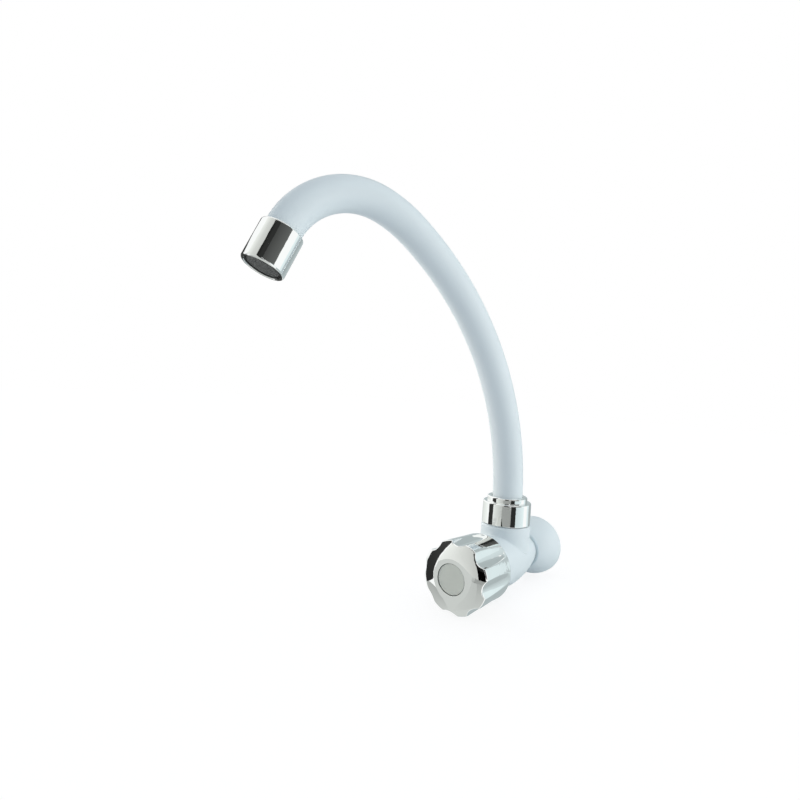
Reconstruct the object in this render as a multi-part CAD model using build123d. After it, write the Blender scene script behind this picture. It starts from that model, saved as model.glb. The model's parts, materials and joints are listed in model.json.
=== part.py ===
from build123d import *
import math
import os

# Wall-mounted kitchen tap: a horizontal valve body with a turning knob on its outer end, and a high
# swivelling spout above it that ends in an aerator.
#
# Frame: +Z up. The origin is the centre of the inlet where it meets the wall, the wall is the plane
# y = 0, and the tap stands out from it along -Y. "Out" below means distance from the wall, and
# "height" means distance above the valve axis. Lengths are millimetres and angles degrees.

os.makedirs("parts", exist_ok=True)

# Clearances, all on the radius or along the axis
FIT = 0.05  # threads and pieces that are pushed together
RUN = 0.08  # shafts that turn in a bore
SLIDE = 0.05  # pieces that slide in a guide
SEAT_GAP = 0.05  # faces that meet without pressing
SWIVEL_PLAY = 0.2  # up and down play of the spout in its nut
COVER_FIT = 0.15  # covers that are pushed over a moulded piece
END_GAP = 0.2  # room at the end of a travel or of a blind bore
THREAD_RUNOUT = 1.0  # how much deeper a tapped hole is than its screw reaches
SPLIT_ANGLE = -30.0  # where the mouths of the split rings face

# Wall flange and its seal
FLANGE_RADIUS = 20.6
FLANGE_RIM = 4.0
FLANGE_DEPTH = 22.0
FLANGE_NOSE_WALL = 1.7
FLANGE_BULGE = 1.6  # how far the dome stands above a straight cone
FLANGE_WALL = 1.8
FLANGE_EDGE_ROUND = 0.8
WALL_SEAL_THICKNESS = 2.5

# Valve body
INLET_THREAD_RADIUS = 10.48  # G 1/2 male thread
INLET_THREAD_LENGTH = 14.0  # part of it that stands behind the wall face
INLET_BORE_RADIUS = 7.0
THREAD_CHAMFER = 1.0
THREAD_RELIEF = 1.2  # depth of the relief between the thread and the neck, under the seal
NECK_RADIUS = 11.2
NECK_SHOW = 0.5  # neck between the flange and the hub
SWIVEL_OUT = 49.5  # wall to the upright axis of the spout
MOUTH_AHEAD = 29.0  # upright axis to the hub's mouth
HUB_RADIUS = 18.0
HUB_STRAIGHT = 21.0  # nearly straight stretch behind the mouth
HUB_BULGE = 1.1  # how far the swelling stretch stands above a straight cone
MOUTH_WALL = 2.2
STUB_HEIGHT = 23.7
STUB_STEP = 0.4  # stub beyond the nut
SOCKET_WALL = 4.8  # from the spout's socket to the nut's thread
SOCKET_DEPTH = 18.0
NUT_THREAD_LENGTH = 11.3
PORT_RADIUS = 6.0
CHAMBER_RADIUS = 11.0
CHAMBER_BACK = 12.5  # upright axis to the chamber's floor

# Valve seat and its washer
SEAT_THREAD_STEP = 1.2  # from the inlet's bore to the seat's thread
SEAT_THREAD_DEPTH = 7.0
SEAT_WALL = 3.2
SEAT_FLANGE_STEP = 1.4
SEAT_FLANGE = 1.5
SEAT_LIP_WIDTH = 1.6
SEAT_LIP = 1.0
SEAT_KEY_DEPTH = 3.5
SEAT_KEY_STEP = 0.5
SEAT_WASHER_OVERHANG = 1.0
SEAT_WASHER_THICKNESS = 3.0
WASHER_SCREW_RADIUS = 1.5
WASHER_SCREW_HEAD_RADIUS = 3.2
WASHER_SCREW_HEAD = 1.6
WASHER_SCREW_LENGTH = 7.5

# Jumper
LIFT = 5.0  # travel of the valve from shut to open
JUMPER_CUP_WALL = 0.85
JUMPER_CUP = 1.2
JUMPER_PLATE = 3.0
JUMPER_NECK_RADIUS = 4.6
JUMPER_HEX = 14.0  # across flats
JUMPER_HEX_LENGTH = 10.0
JUMPER_THREAD_RADIUS = 3.85
JUMPER_THREAD_LENGTH = 10.5

# Headwork
NOSE_AHEAD_OF_PORT = 1.5
NOSE_CLEARANCE = 0.4
NOSE_LENGTH = 3.0
HEADWORK_THREAD_STEP = 1.0  # from the chamber to the headwork's thread
HEADWORK_FLANGE_STEP = 3.0
HEADWORK_FLANGE = 1.9
HEADWORK_FLANGE_SUNK = 0.4
HEADWORK_HEX = 24.0  # across flats
HEADWORK_HEX_LENGTH = 6.0
HEADWORK_SEAL_THICKNESS = 1.2
GLAND_WALL = 3.0

# Spindle
SPINDLE_HEAD_LENGTH = 14.0
SPINDLE_HEAD_STEP = 0.3  # smaller than the hexagon's flats
SPINDLE_RADIUS = 4.4
THRUST_WASHER_THICKNESS = 0.8
SPINDLE_RING_SECTION = 0.62  # radius of the rubber
SPINDLE_RING_PITCH = 3.2
CIRCLIP_REACH = 1.6
CIRCLIP_THICKNESS = 0.8
CIRCLIP_GROOVE_DEPTH = 0.9
CIRCLIP_GAP = 3.4  # open mouth of the clip
SPLINE_STEP = 0.3
SPLINE_DEPTH = 0.45
SPLINE_TEETH = 18
SPLINE_SETBACK = 1.0  # from the clip to the first teeth
SPINDLE_SHORT = 5.0  # spindle's end to the knob's inner ceiling

# Knob
KNOB_REAR_GAP = 0.8  # hub's mouth to the knob's rear rim
KNOB_REAR_RADIUS = 21.2
KNOB_LOBE_RADIUS = 22.5
KNOB_LENGTH = 31.45  # rear rim to the front edge of the lobes
KNOB_BEVEL = 3.95  # the edge of the lobes to the flat ring round the cap
KNOB_RING_RADIUS = 12.8
KNOB_CROWN_RADIUS = 17.0  # where the crowned face turns from a shallow to a steeper slope
KNOB_CROWN_DROP = 1.0
KNOB_CROWN_ROUND = 15.0
KNOB_SKIRT = 1.0  # plain ring behind the flutes
KNOB_WALL = 1.8
KNOB_EDGE_ROUND = 1.3
LOBES = 8
LOBE_ANGLE = 18.5  # of one lobe, from +X towards +Z
FLUTE_RADIUS = 7.0  # at the front, where the flutes are narrowest and deepest
FLUTE_DEPTH = 2.45
FLUTE_REAR_RADIUS = 18.0
FLUTE_REAR_DEPTH = 0.5
FLUTE_EDGE_ROUND = 1.0
CAP_RADIUS = 9.2
CAP_THICKNESS = 1.8
CAP_RECESS = 0.5
CAP_GAP = 0.25
CAP_SEAT_DEPTH = 3.5  # cap's seat to the knob's inner ceiling
CAP_SKIRT_STEP = 1.9
CAP_SKIRT_WALL = 0.9
CAP_SKIRT_DEPTH = 2.6
CORE_BOSS_WALL = 3.1
CORE_RIB = 2.0
CORE_RIBS = 6
CORE_RIB_SETBACK = 3.0
CORE_PLATE = 2.0
CORE_PLATE_STEP = 1.0
KNOB_SCREW_RADIUS = 1.9
KNOB_SCREW_LENGTH = 12.5
KNOB_SCREW_HEAD_RADIUS = 3.8
KNOB_SCREW_HEAD = 2.3
KNOB_SCREW_CROSS = 5.0  # length of the cross recess
SCREW_SLOT = 0.9

# Spout
SPOUT_RADIUS = 10.0
SPOUT_WALL = 2.8
TUBE_SOCKET_WALL = 2.1  # where the inserts are glued into the tube's two ends
SPOUT_REST_ANGLE = 19.5  # at rest, turned from straight out towards -X
RISE = 2.6  # straight stretch above the tube's lower end
SWEEP_RADIUS = 197.0
SWEEP_TURN = 57.0
SHOULDER_RADIUS = 81.0
SHOULDER_TURN = 15.8
CROWN_RADIUS = 48.25
CROWN_TURN = 81.95

# Swivel
SWIVEL_NUT_GAP = 0.3  # stub's shoulder to the nut
SWIVEL_NUT_WALL = 2.55
SWIVEL_NUT_ROUND = 1.0
SWIVEL_NUT_FOOT = 0.2  # how much wider the nut is at its foot
SWIVEL_RING_WALL = 1.7
SWIVEL_RING_HEIGHT = 3.5
SWIVEL_LIP = 2.8
SWIVEL_LIP_ROUND = 0.4
LIP_CLEARANCE = 0.3
BEARING_WASHER_THICKNESS = 1.0
RETAINING_RING_WALL = 2.4
RETAINING_RING_HEIGHT = 2.0
RETAINING_RING_RAISE = 1.0  # above the tube's lower end
RETAINING_RING_CLEARANCE = 0.2
RETAINING_RING_GAP = 5.0
RETAINING_GROOVE_DEPTH = 1.0
SOCKET_STEP = 1.4  # tube's outside to the socket
SPIGOT_CLEARANCE = 0.15
SPIGOT_WALL = 1.95
SPIGOT_GLUE_LENGTH = 14.0
SPIGOT_RING_SECTION = 0.67  # radius of the rubber
SPIGOT_RING_HEIGHT = 4.5  # first ring above the spigot's lower end
SPIGOT_RING_PITCH = 5.5

# Outlet and aerator
AERATOR_THREAD_STEP = 0.9
AERATOR_WALL = 1.05
AERATOR_LENGTH = 22.9
AERATOR_SHOULDER_ROUND = 0.95
AERATOR_MOUTH_ROUND = 1.2
AERATOR_LIP = 1.5
AERATOR_LIP_WIDTH = 0.7
AERATOR_LIP_CHAMFER = 0.4
NIPPLE_FLANGE = 0.8
NIPPLE_THREAD_LENGTH = 7.4
NIPPLE_GLUE_LENGTH = 7.0
NIPPLE_WALL = 1.65
AERATOR_WASHER_THICKNESS = 2.0
AERATOR_WASHER_WIDTH = 3.4
CARTRIDGE_WALL = 1.3
CARTRIDGE_NOSE = 0.9
CARTRIDGE_NOSE_WALL = 0.7
CARTRIDGE_STEP = 1.0  # width and depth of the ledge inside the cartridge
INLET_SCREEN_SUNK = 0.4
INLET_SCREEN_THICKNESS = 0.6
STRAIGHTENER_GAP = 1.5
STRAIGHTENER_THICKNESS = 2.0
STRAIGHTENER_HOLE_RADIUS = 0.6
STRAIGHTENER_RINGS = 3
OUTLET_SCREEN_SUNK = 0.4
SCREEN_THICKNESS = 0.5
SCREEN_PITCH = 1.5
SCREEN_WIRE = 0.5

# Radii worked out from the sizes above
flange_bore = NECK_RADIUS + COVER_FIT
flange_nose = flange_bore + FLANGE_NOSE_WALL
seat_thread = INLET_BORE_RADIUS + SEAT_THREAD_STEP
seat_bore = seat_thread - SEAT_WALL
seat_lip_radius = seat_bore + SEAT_LIP_WIDTH
seat_washer_radius = seat_lip_radius + SEAT_WASHER_OVERHANG
jumper_radius = seat_washer_radius + FIT + JUMPER_CUP_WALL
headwork_thread = CHAMBER_RADIUS + HEADWORK_THREAD_STEP
headwork_flange_radius = headwork_thread + HEADWORK_FLANGE_STEP
counterbore = headwork_flange_radius + COVER_FIT
hub_mouth = counterbore + MOUTH_WALL
spindle_bore = SPINDLE_RADIUS + RUN
spindle_head = JUMPER_HEX / 2 - SPINDLE_HEAD_STEP
gland_radius = spindle_bore + GLAND_WALL
spline_radius = SPINDLE_RADIUS - SPLINE_STEP
knob_valley = KNOB_LOBE_RADIUS - FLUTE_DEPTH
cap_skirt = CAP_RADIUS - CAP_SKIRT_STEP
tube_bore = SPOUT_RADIUS - SPOUT_WALL
tube_socket = SPOUT_RADIUS - TUBE_SOCKET_WALL
insert_radius = tube_socket - FIT
socket_radius = SPOUT_RADIUS - SOCKET_STEP
nut_thread = socket_radius + SOCKET_WALL
nut_radius = nut_thread + FIT + SWIVEL_NUT_WALL
stub_radius = nut_radius + STUB_STEP
retaining_inner = SPOUT_RADIUS - RETAINING_GROOVE_DEPTH
retaining_outer = retaining_inner + RETAINING_RING_WALL
nut_cavity = retaining_outer + RETAINING_RING_CLEARANCE
nut_ring_radius = nut_cavity + SWIVEL_RING_WALL
aerator_thread = SPOUT_RADIUS + AERATOR_THREAD_STEP
aerator_radius = aerator_thread + AERATOR_WALL
aerator_lip_radius = aerator_thread - AERATOR_LIP_WIDTH
cartridge_radius = aerator_thread - FIT
cartridge_bore = cartridge_radius - CARTRIDGE_WALL
cartridge_nose = aerator_lip_radius - FIT
cartridge_nose_bore = cartridge_nose - CARTRIDGE_NOSE_WALL

# Stations along the valve axis, out from the wall
neck_end = FLANGE_DEPTH + NECK_SHOW
mouth_out = SWIVEL_OUT + MOUTH_AHEAD
hub_swell_end = mouth_out - HUB_STRAIGHT
chamber_floor = SWIVEL_OUT - CHAMBER_BACK
seat_thread_start = chamber_floor - SEAT_THREAD_DEPTH
seat_face = chamber_floor + SEAT_FLANGE + SEAT_LIP
washer_start = seat_face + SEAT_GAP
jumper_start = washer_start + SEAT_WASHER_THICKNESS + SEAT_GAP
nose_out = SWIVEL_OUT + PORT_RADIUS + NOSE_AHEAD_OF_PORT
headwork_thread_start = nose_out + NOSE_LENGTH
headwork_flange_out = mouth_out - HEADWORK_FLANGE_SUNK
headwork_seal_out = headwork_flange_out - SEAT_GAP - HEADWORK_SEAL_THICKNESS
headwork_hex_out = headwork_flange_out + HEADWORK_FLANGE
gland_out = headwork_hex_out + HEADWORK_HEX_LENGTH
jumper_hex_start = nose_out - LIFT
jumper_hex_end = jumper_hex_start + JUMPER_HEX_LENGTH
jumper_end = jumper_hex_end + JUMPER_THREAD_LENGTH
guide_end = jumper_hex_end + LIFT + END_GAP
spindle_start = guide_end + END_GAP
spindle_shoulder = spindle_start + SPINDLE_HEAD_LENGTH
thrust_washer_out = spindle_shoulder + SEAT_GAP
headwork_shoulder = thrust_washer_out + THRUST_WASHER_THICKNESS + SEAT_GAP
spindle_ring_stations = [headwork_shoulder + k * SPINDLE_RING_PITCH for k in (0.5, 1.5)]
headwork_end = headwork_shoulder + 3 * SPINDLE_RING_PITCH
circlip_out = headwork_end + END_GAP
spline_start = circlip_out + CIRCLIP_THICKNESS + SPLINE_SETBACK
knob_rear = mouth_out + KNOB_REAR_GAP
knob_edge = knob_rear + KNOB_LENGTH
knob_front = knob_edge + KNOB_BEVEL
cap_face = knob_front - CAP_RECESS
cap_seat = cap_face - CAP_THICKNESS
knob_ceiling = cap_seat - CAP_SEAT_DEPTH
spline_end = knob_ceiling - SPINDLE_SHORT
core_start = spline_start + END_GAP
core_end = knob_ceiling - SEAT_GAP

# Heights along the swivel axis
nut_thread_top = STUB_HEIGHT + NUT_THREAD_LENGTH
bearing_bottom = nut_thread_top + SEAT_GAP
bearing_top = bearing_bottom + BEARING_WASHER_THICKNESS
tube_bottom = bearing_top + SWIVEL_PLAY
retaining_bottom = tube_bottom + RETAINING_RING_RAISE
retaining_top = retaining_bottom + RETAINING_RING_HEIGHT
lip_underside = retaining_top + SWIVEL_PLAY
nut_top = lip_underside + SWIVEL_LIP
nut_shoulder = nut_top - SWIVEL_RING_HEIGHT
nut_bottom = STUB_HEIGHT + SWIVEL_NUT_GAP
socket_floor = nut_thread_top - SOCKET_DEPTH
spigot_bottom = socket_floor + END_GAP
spigot_ring_stations = [spigot_bottom + SPIGOT_RING_HEIGHT + k * SPIGOT_RING_PITCH for k in (0, 1)]

# Stations along the outlet axis, from the end of the bare tube
nipple_flange_start = SEAT_GAP
nipple_end = nipple_flange_start + NIPPLE_FLANGE + NIPPLE_THREAD_LENGTH
aerator_washer_start = nipple_end + SEAT_GAP
cartridge_start = aerator_washer_start + AERATOR_WASHER_THICKNESS + SEAT_GAP
inlet_screen_start = cartridge_start + INLET_SCREEN_SUNK
straightener_start = inlet_screen_start + INLET_SCREEN_THICKNESS + STRAIGHTENER_GAP
aerator_lip_start = AERATOR_LENGTH - AERATOR_LIP
cartridge_shoulder = aerator_lip_start - SEAT_GAP
cartridge_end = cartridge_shoulder + CARTRIDGE_NOSE
outlet_screen_end = cartridge_end - OUTLET_SCREEN_SUNK

valve_axis = Plane(origin=(0, 0, 0), x_dir=(1, 0, 0), z_dir=(0, -1, 0))
swivel_axis = Plane(origin=(0, -SWIVEL_OUT, 0), x_dir=(1, 0, 0), z_dir=(0, 0, 1))


def outline(*corners):
    """Closed outline of (along, radius) corners. A corner with a third number is rounded to it."""
    points = [Vector(corner[1], 0, corner[0]) for corner in corners]
    rounds = [corner[2] if len(corner) > 2 else 0 for corner in corners]
    arcs, starts, ends = [], [], []
    for k, (point, radius) in enumerate(zip(points, rounds)):
        back = (points[k - 1] - point).normalized()
        ahead = (points[(k + 1) % len(points)] - point).normalized()
        start = end = point
        if radius:
            half = math.radians(back.get_angle(ahead)) / 2
            start = point + back * (radius / math.tan(half))
            end = point + ahead * (radius / math.tan(half))
            middle = point + (back + ahead).normalized() * (radius / math.sin(half) - radius)
            arcs.append(ThreePointArc(start, middle, end))
        starts.append(start)
        ends.append(end)
    lines = [Line(ends[k - 1], starts[k]) for k in range(len(points))]
    return make_face(Curve() + arcs + lines)


def bulged(start, end, bulge):
    """Arc between two (along, radius) points that stands above its chord by the bulge."""
    first = Vector(start[1], 0, start[0])
    last = Vector(end[1], 0, end[0])
    chord = last - first
    above = Vector(abs(chord.Z), 0, abs(chord.X)).normalized()
    if chord.X * chord.Z > 0:
        above = Vector(above.X, 0, -above.Z)
    return ThreePointArc(first, (first + last) / 2 + bulge * above, last)


def straight(*points):
    """Straight lines through (along, radius) points."""
    return Polyline(*[(radius, 0, along) for along, radius in points])


def turned(axis, *corners):
    """Solid of revolution about the z axis of a plane, from (along, radius[, round]) corners."""
    return axis.location * revolve(outline(*corners), Axis.Z)


def ring(axis, start, end, inner, outer):
    """Plain ring, or a disc where the inner radius is 0."""
    return turned(axis, (start, inner), (start, outer), (end, outer), (end, inner))


def sealing_ring(axis, along, middle_radius, section_radius):
    """Round-section ring about an axis."""
    return axis.location * Pos(0, 0, along) * Torus(middle_radius, section_radius)


def prism(axis, start, end, shape):
    """Straight prism of a flat shape between two stations on an axis."""
    return axis.location * Pos(0, 0, start) * extrude(shape, end - start)


def hexagon(across_flats):
    """Hexagon by its size across flats."""
    return RegularPolygon(across_flats / 2, 6, major_radius=False)


def spline_outline(radius):
    """Straight-sided toothed outline, radius at the tips."""
    points = []
    for k in range(SPLINE_TEETH):
        for share, reach in ((-0.32, 0), (-0.18, SPLINE_DEPTH), (0.18, SPLINE_DEPTH), (0.32, 0)):
            angle = 2 * math.pi * (k + share) / SPLINE_TEETH
            r = radius - SPLINE_DEPTH + reach
            points.append((r * math.cos(angle), r * math.sin(angle)))
    return make_face(Polyline(*points, close=True))


def split_ring(axis, start, end, inner, outer, gap):
    """Ring with an open mouth, as a clip has."""
    mouth = Rot(0, 0, SPLIT_ANGLE) * Pos(outer, 0, 0) * Box(2 * outer, gap, 2 * (end - start))
    middle = (start + end) / 2
    return ring(axis, start, end, inner, outer) - axis.location * Pos(0, 0, middle) * mouth


def tap_body():
    """Hollow moulded body: threaded inlet, neck, egg-shaped hub and the stub for the spout."""
    neck = (neck_end, NECK_RADIUS)
    hub = (hub_swell_end, HUB_RADIUS)
    below_mouth = straight(
        hub,
        (mouth_out, hub_mouth),
        (mouth_out, 0),
        (-INLET_THREAD_LENGTH, 0),
        (-INLET_THREAD_LENGTH, INLET_THREAD_RADIUS - THREAD_CHAMFER),
        (THREAD_CHAMFER - INLET_THREAD_LENGTH, INLET_THREAD_RADIUS),
        (0, INLET_THREAD_RADIUS),
        (0, INLET_THREAD_RADIUS - THREAD_RELIEF),
        (WALL_SEAL_THICKNESS, INLET_THREAD_RADIUS - THREAD_RELIEF),
        (WALL_SEAL_THICKNESS, NECK_RADIUS),
        neck,
    )
    edges = Curve() + [bulged(neck, hub, HUB_BULGE), below_mouth]
    body = valve_axis.location * revolve(make_face(edges), Axis.Z)
    body += turned(
        swivel_axis,
        (0, 0),
        (0, stub_radius),
        (STUB_HEIGHT, stub_radius),
        (STUB_HEIGHT, nut_thread),
        (nut_thread_top, nut_thread),
        (nut_thread_top, 0),
    )
    body -= ring(valve_axis, -INLET_THREAD_LENGTH, seat_thread_start, 0, INLET_BORE_RADIUS)
    body -= ring(valve_axis, seat_thread_start, chamber_floor, 0, seat_thread)
    body -= ring(valve_axis, chamber_floor, mouth_out, 0, CHAMBER_RADIUS)
    body -= ring(valve_axis, headwork_thread_start, mouth_out, 0, headwork_thread)
    body -= ring(valve_axis, headwork_seal_out - SEAT_GAP, mouth_out, 0, counterbore)
    body -= ring(swivel_axis, 0, socket_floor, 0, PORT_RADIUS)
    body -= ring(swivel_axis, socket_floor, nut_thread_top, 0, socket_radius)
    return body


def wall_flange():
    """Domed cover that slides along the neck and hides the hole in the wall."""
    nose = (FLANGE_DEPTH, flange_nose)
    rim = (FLANGE_RIM, FLANGE_RADIUS)
    back = straight(rim, (0, FLANGE_RADIUS), (0, flange_bore), (FLANGE_DEPTH, flange_bore), nose)
    cover = revolve(make_face(Curve() + [bulged(nose, rim, FLANGE_BULGE), back]), Axis.Z)
    circles = cover.edges().filter_by(GeomType.CIRCLE)
    wall_edge = [e for e in circles if e.radius > FLANGE_RADIUS - FIT and e.center().Z < FIT]
    cover = fillet(wall_edge, FLANGE_EDGE_ROUND)
    inner_nose = (FLANGE_DEPTH - 2 * FLANGE_WALL, flange_nose)
    inner_rim = (FLANGE_RIM, FLANGE_RADIUS - FLANGE_WALL)
    inside = straight(
        inner_rim,
        (0, FLANGE_RADIUS - FLANGE_WALL),
        (0, flange_bore),
        (FLANGE_RIM, flange_bore),
        (FLANGE_RIM, flange_nose),
        inner_nose,
    )
    cover -= revolve(make_face(Curve() + [bulged(inner_nose, inner_rim, FLANGE_BULGE), inside]), Axis.Z)
    return valve_axis.location * cover


def wall_seal():
    """Soft ring on the inlet thread, pressed between the wall and the neck's shoulder."""
    outer = FLANGE_RADIUS - FLANGE_WALL - COVER_FIT
    inner = INLET_THREAD_RADIUS + FIT
    return ring(valve_axis, 0, WALL_SEAL_THICKNESS - SEAT_GAP, inner, outer)


def valve_seat():
    """Screwed-in seat with a raised lip and a hexagonal socket for its key."""
    seat = turned(
        valve_axis,
        (seat_thread_start + SEAT_GAP, seat_bore),
        (seat_thread_start + SEAT_GAP, seat_thread - FIT),
        (chamber_floor + SEAT_GAP, seat_thread - FIT),
        (chamber_floor + SEAT_GAP, seat_thread + SEAT_FLANGE_STEP),
        (chamber_floor + SEAT_FLANGE, seat_thread + SEAT_FLANGE_STEP),
        (chamber_floor + SEAT_FLANGE, seat_lip_radius),
        (seat_face, seat_lip_radius),
        (seat_face, seat_bore),
    )
    key = hexagon(2 * (seat_bore + SEAT_KEY_STEP))
    return seat - prism(valve_axis, seat_thread_start, seat_thread_start + SEAT_KEY_DEPTH, key)


def seat_washer():
    """Soft washer that closes on the seat's lip."""
    end = washer_start + SEAT_WASHER_THICKNESS
    return ring(valve_axis, washer_start, end, WASHER_SCREW_RADIUS + FIT, seat_washer_radius)


def washer_screw():
    """Slotted screw that holds the soft washer on the jumper."""
    start = washer_start - SEAT_GAP
    head_start = start - WASHER_SCREW_HEAD
    screw = turned(
        valve_axis,
        (head_start, 0),
        (head_start, WASHER_SCREW_HEAD_RADIUS, WASHER_SCREW_HEAD / 3),
        (start, WASHER_SCREW_HEAD_RADIUS),
        (start, WASHER_SCREW_RADIUS),
        (start + WASHER_SCREW_LENGTH, WASHER_SCREW_RADIUS),
        (start + WASHER_SCREW_LENGTH, 0),
    )
    slot = Rectangle(2 * WASHER_SCREW_HEAD_RADIUS, SCREW_SLOT)
    return screw - prism(valve_axis, head_start, head_start + WASHER_SCREW_HEAD / 2, slot)


def jumper():
    """Valve carrier that slides but never turns: washer cup, hexagon, and thread for the spindle."""
    cup_start = jumper_start - JUMPER_CUP
    plate_end = jumper_start + JUMPER_PLATE
    carrier = turned(
        valve_axis,
        (cup_start, 0),
        (cup_start, jumper_radius),
        (plate_end, jumper_radius, JUMPER_PLATE / 4),
        (plate_end, JUMPER_NECK_RADIUS),
        (jumper_hex_end, JUMPER_NECK_RADIUS),
        (jumper_hex_end, JUMPER_THREAD_RADIUS),
        (jumper_end, JUMPER_THREAD_RADIUS, JUMPER_THREAD_RADIUS / 5),
        (jumper_end, 0),
    )
    carrier += prism(valve_axis, jumper_hex_start, jumper_hex_end, hexagon(JUMPER_HEX))
    carrier -= ring(valve_axis, cup_start, jumper_start, 0, seat_washer_radius + FIT)
    screw_end = washer_start + WASHER_SCREW_LENGTH + THREAD_RUNOUT
    return carrier - ring(valve_axis, jumper_start, screw_end, 0, WASHER_SCREW_RADIUS + FIT)


def headwork():
    """Bonnet that screws into the hub: guide for the jumper, bearing for the spindle, and gland."""
    nose_radius = CHAMBER_RADIUS - NOSE_CLEARANCE
    shell = turned(
        valve_axis,
        (nose_out, 0),
        (nose_out, nose_radius),
        (headwork_thread_start + SEAT_GAP, nose_radius),
        (headwork_thread_start + SEAT_GAP, headwork_thread - FIT),
        (headwork_flange_out, headwork_thread - FIT),
        (headwork_flange_out, headwork_flange_radius),
        (headwork_hex_out, headwork_flange_radius, HEADWORK_FLANGE / 3),
        (headwork_hex_out, gland_radius),
        (headwork_end, gland_radius, GLAND_WALL / 4),
        (headwork_end, 0),
    )
    shell += prism(valve_axis, headwork_hex_out, gland_out, hexagon(HEADWORK_HEX))
    shell -= prism(valve_axis, nose_out, guide_end, hexagon(JUMPER_HEX + 2 * SLIDE))
    shell -= ring(valve_axis, guide_end, headwork_shoulder, 0, spindle_head + RUN)
    return shell - ring(valve_axis, headwork_shoulder, headwork_end, 0, spindle_bore)


def headwork_seal():
    """Flat gasket in the hub's mouth, under the headwork's flange."""
    end = headwork_seal_out + HEADWORK_SEAL_THICKNESS
    return ring(valve_axis, headwork_seal_out, end, headwork_thread + FIT, headwork_flange_radius)


def thrust_washer():
    """Slippery washer between the spindle's head and the headwork's shoulder."""
    end = thrust_washer_out + THRUST_WASHER_THICKNESS
    return ring(valve_axis, thrust_washer_out, end, spindle_bore + FIT, spindle_head)


def spindle():
    """Turning spindle: threaded head, stem with two ring grooves, clip groove and toothed end."""
    shaft = turned(
        valve_axis,
        (spindle_start, 0),
        (spindle_start, spindle_head),
        (spindle_shoulder, spindle_head),
        (spindle_shoulder, SPINDLE_RADIUS),
        (spline_start, SPINDLE_RADIUS),
        (spline_start, 0),
    )
    shaft += prism(valve_axis, spline_start, spline_end, spline_outline(spline_radius))
    thread_end = jumper_end + LIFT + THREAD_RUNOUT
    shaft -= ring(valve_axis, spindle_start, thread_end, 0, JUMPER_THREAD_RADIUS + FIT)
    half = SPINDLE_RING_SECTION + FIT
    groove = spindle_bore - 2 * half
    for along in spindle_ring_stations:
        shaft -= ring(valve_axis, along - half, along + half, groove, spindle_bore)
    clip_end = circlip_out + CIRCLIP_THICKNESS + SEAT_GAP
    clip_groove = SPINDLE_RADIUS - CIRCLIP_GROOVE_DEPTH
    shaft -= ring(valve_axis, circlip_out - SEAT_GAP, clip_end, clip_groove, spindle_bore)
    hole_start = knob_ceiling - KNOB_SCREW_LENGTH - THREAD_RUNOUT
    return shaft - ring(valve_axis, hole_start, spline_end, 0, KNOB_SCREW_RADIUS + FIT)


def spindle_rings():
    """Two round rubber rings on the spindle."""
    middle = spindle_bore - SPINDLE_RING_SECTION - FIT
    return [sealing_ring(valve_axis, at, middle, SPINDLE_RING_SECTION) for at in spindle_ring_stations]


def circlip():
    """Spring clip that keeps the spindle from sinking into the headwork."""
    inner = SPINDLE_RADIUS - CIRCLIP_GROOVE_DEPTH + FIT
    outer = SPINDLE_RADIUS + CIRCLIP_REACH
    return split_ring(valve_axis, circlip_out, circlip_out + CIRCLIP_THICKNESS, inner, outer, CIRCLIP_GAP)


def flute_cutter():
    """One flute: a round bar that grows wider towards the rear, where it leaves the knob's side."""
    ends = []
    for station, valley, radius in (
        (knob_rear + KNOB_SKIRT, KNOB_REAR_RADIUS - FLUTE_REAR_DEPTH, FLUTE_REAR_RADIUS),
        (knob_front, knob_valley, FLUTE_RADIUS),
    ):
        ends.append(Pos(valley + radius, 0, station) * Circle(radius))
    return loft(ends, ruled=True)


def knob_shell():
    """Plated shell with fluted sides, a crowned front and a round recess for the cap."""
    shell = turned(
        valve_axis,
        (knob_rear, 0),
        (knob_rear, KNOB_REAR_RADIUS, KNOB_EDGE_ROUND / 2),
        (knob_edge, KNOB_LOBE_RADIUS, KNOB_EDGE_ROUND),
        (knob_front - KNOB_CROWN_DROP, KNOB_CROWN_RADIUS, KNOB_CROWN_ROUND),
        (knob_front, KNOB_RING_RADIUS, 2 * KNOB_EDGE_ROUND),
        (knob_front, 0),
    )
    for k in range(LOBES):
        turn = Rot(0, 0, LOBE_ANGLE + (k + 0.5) * 360 / LOBES)
        shell -= valve_axis.location * (turn * flute_cutter())
    ridges = [e for e in shell.edges() if e.geom_type not in (GeomType.CIRCLE, GeomType.LINE)]
    shell = fillet(ridges, FLUTE_EDGE_ROUND)
    shell -= turned(
        valve_axis,
        (knob_rear, 0),
        (knob_rear, KNOB_REAR_RADIUS - KNOB_WALL),
        (knob_rear + KNOB_SKIRT, knob_valley - KNOB_WALL),
        (knob_ceiling, knob_valley - KNOB_WALL, KNOB_EDGE_ROUND),
        (knob_ceiling, 0),
    )
    shell -= ring(valve_axis, knob_ceiling, cap_seat, 0, cap_skirt + FIT)
    return shell - ring(valve_axis, cap_seat, knob_front, 0, CAP_RADIUS + CAP_GAP)


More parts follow.
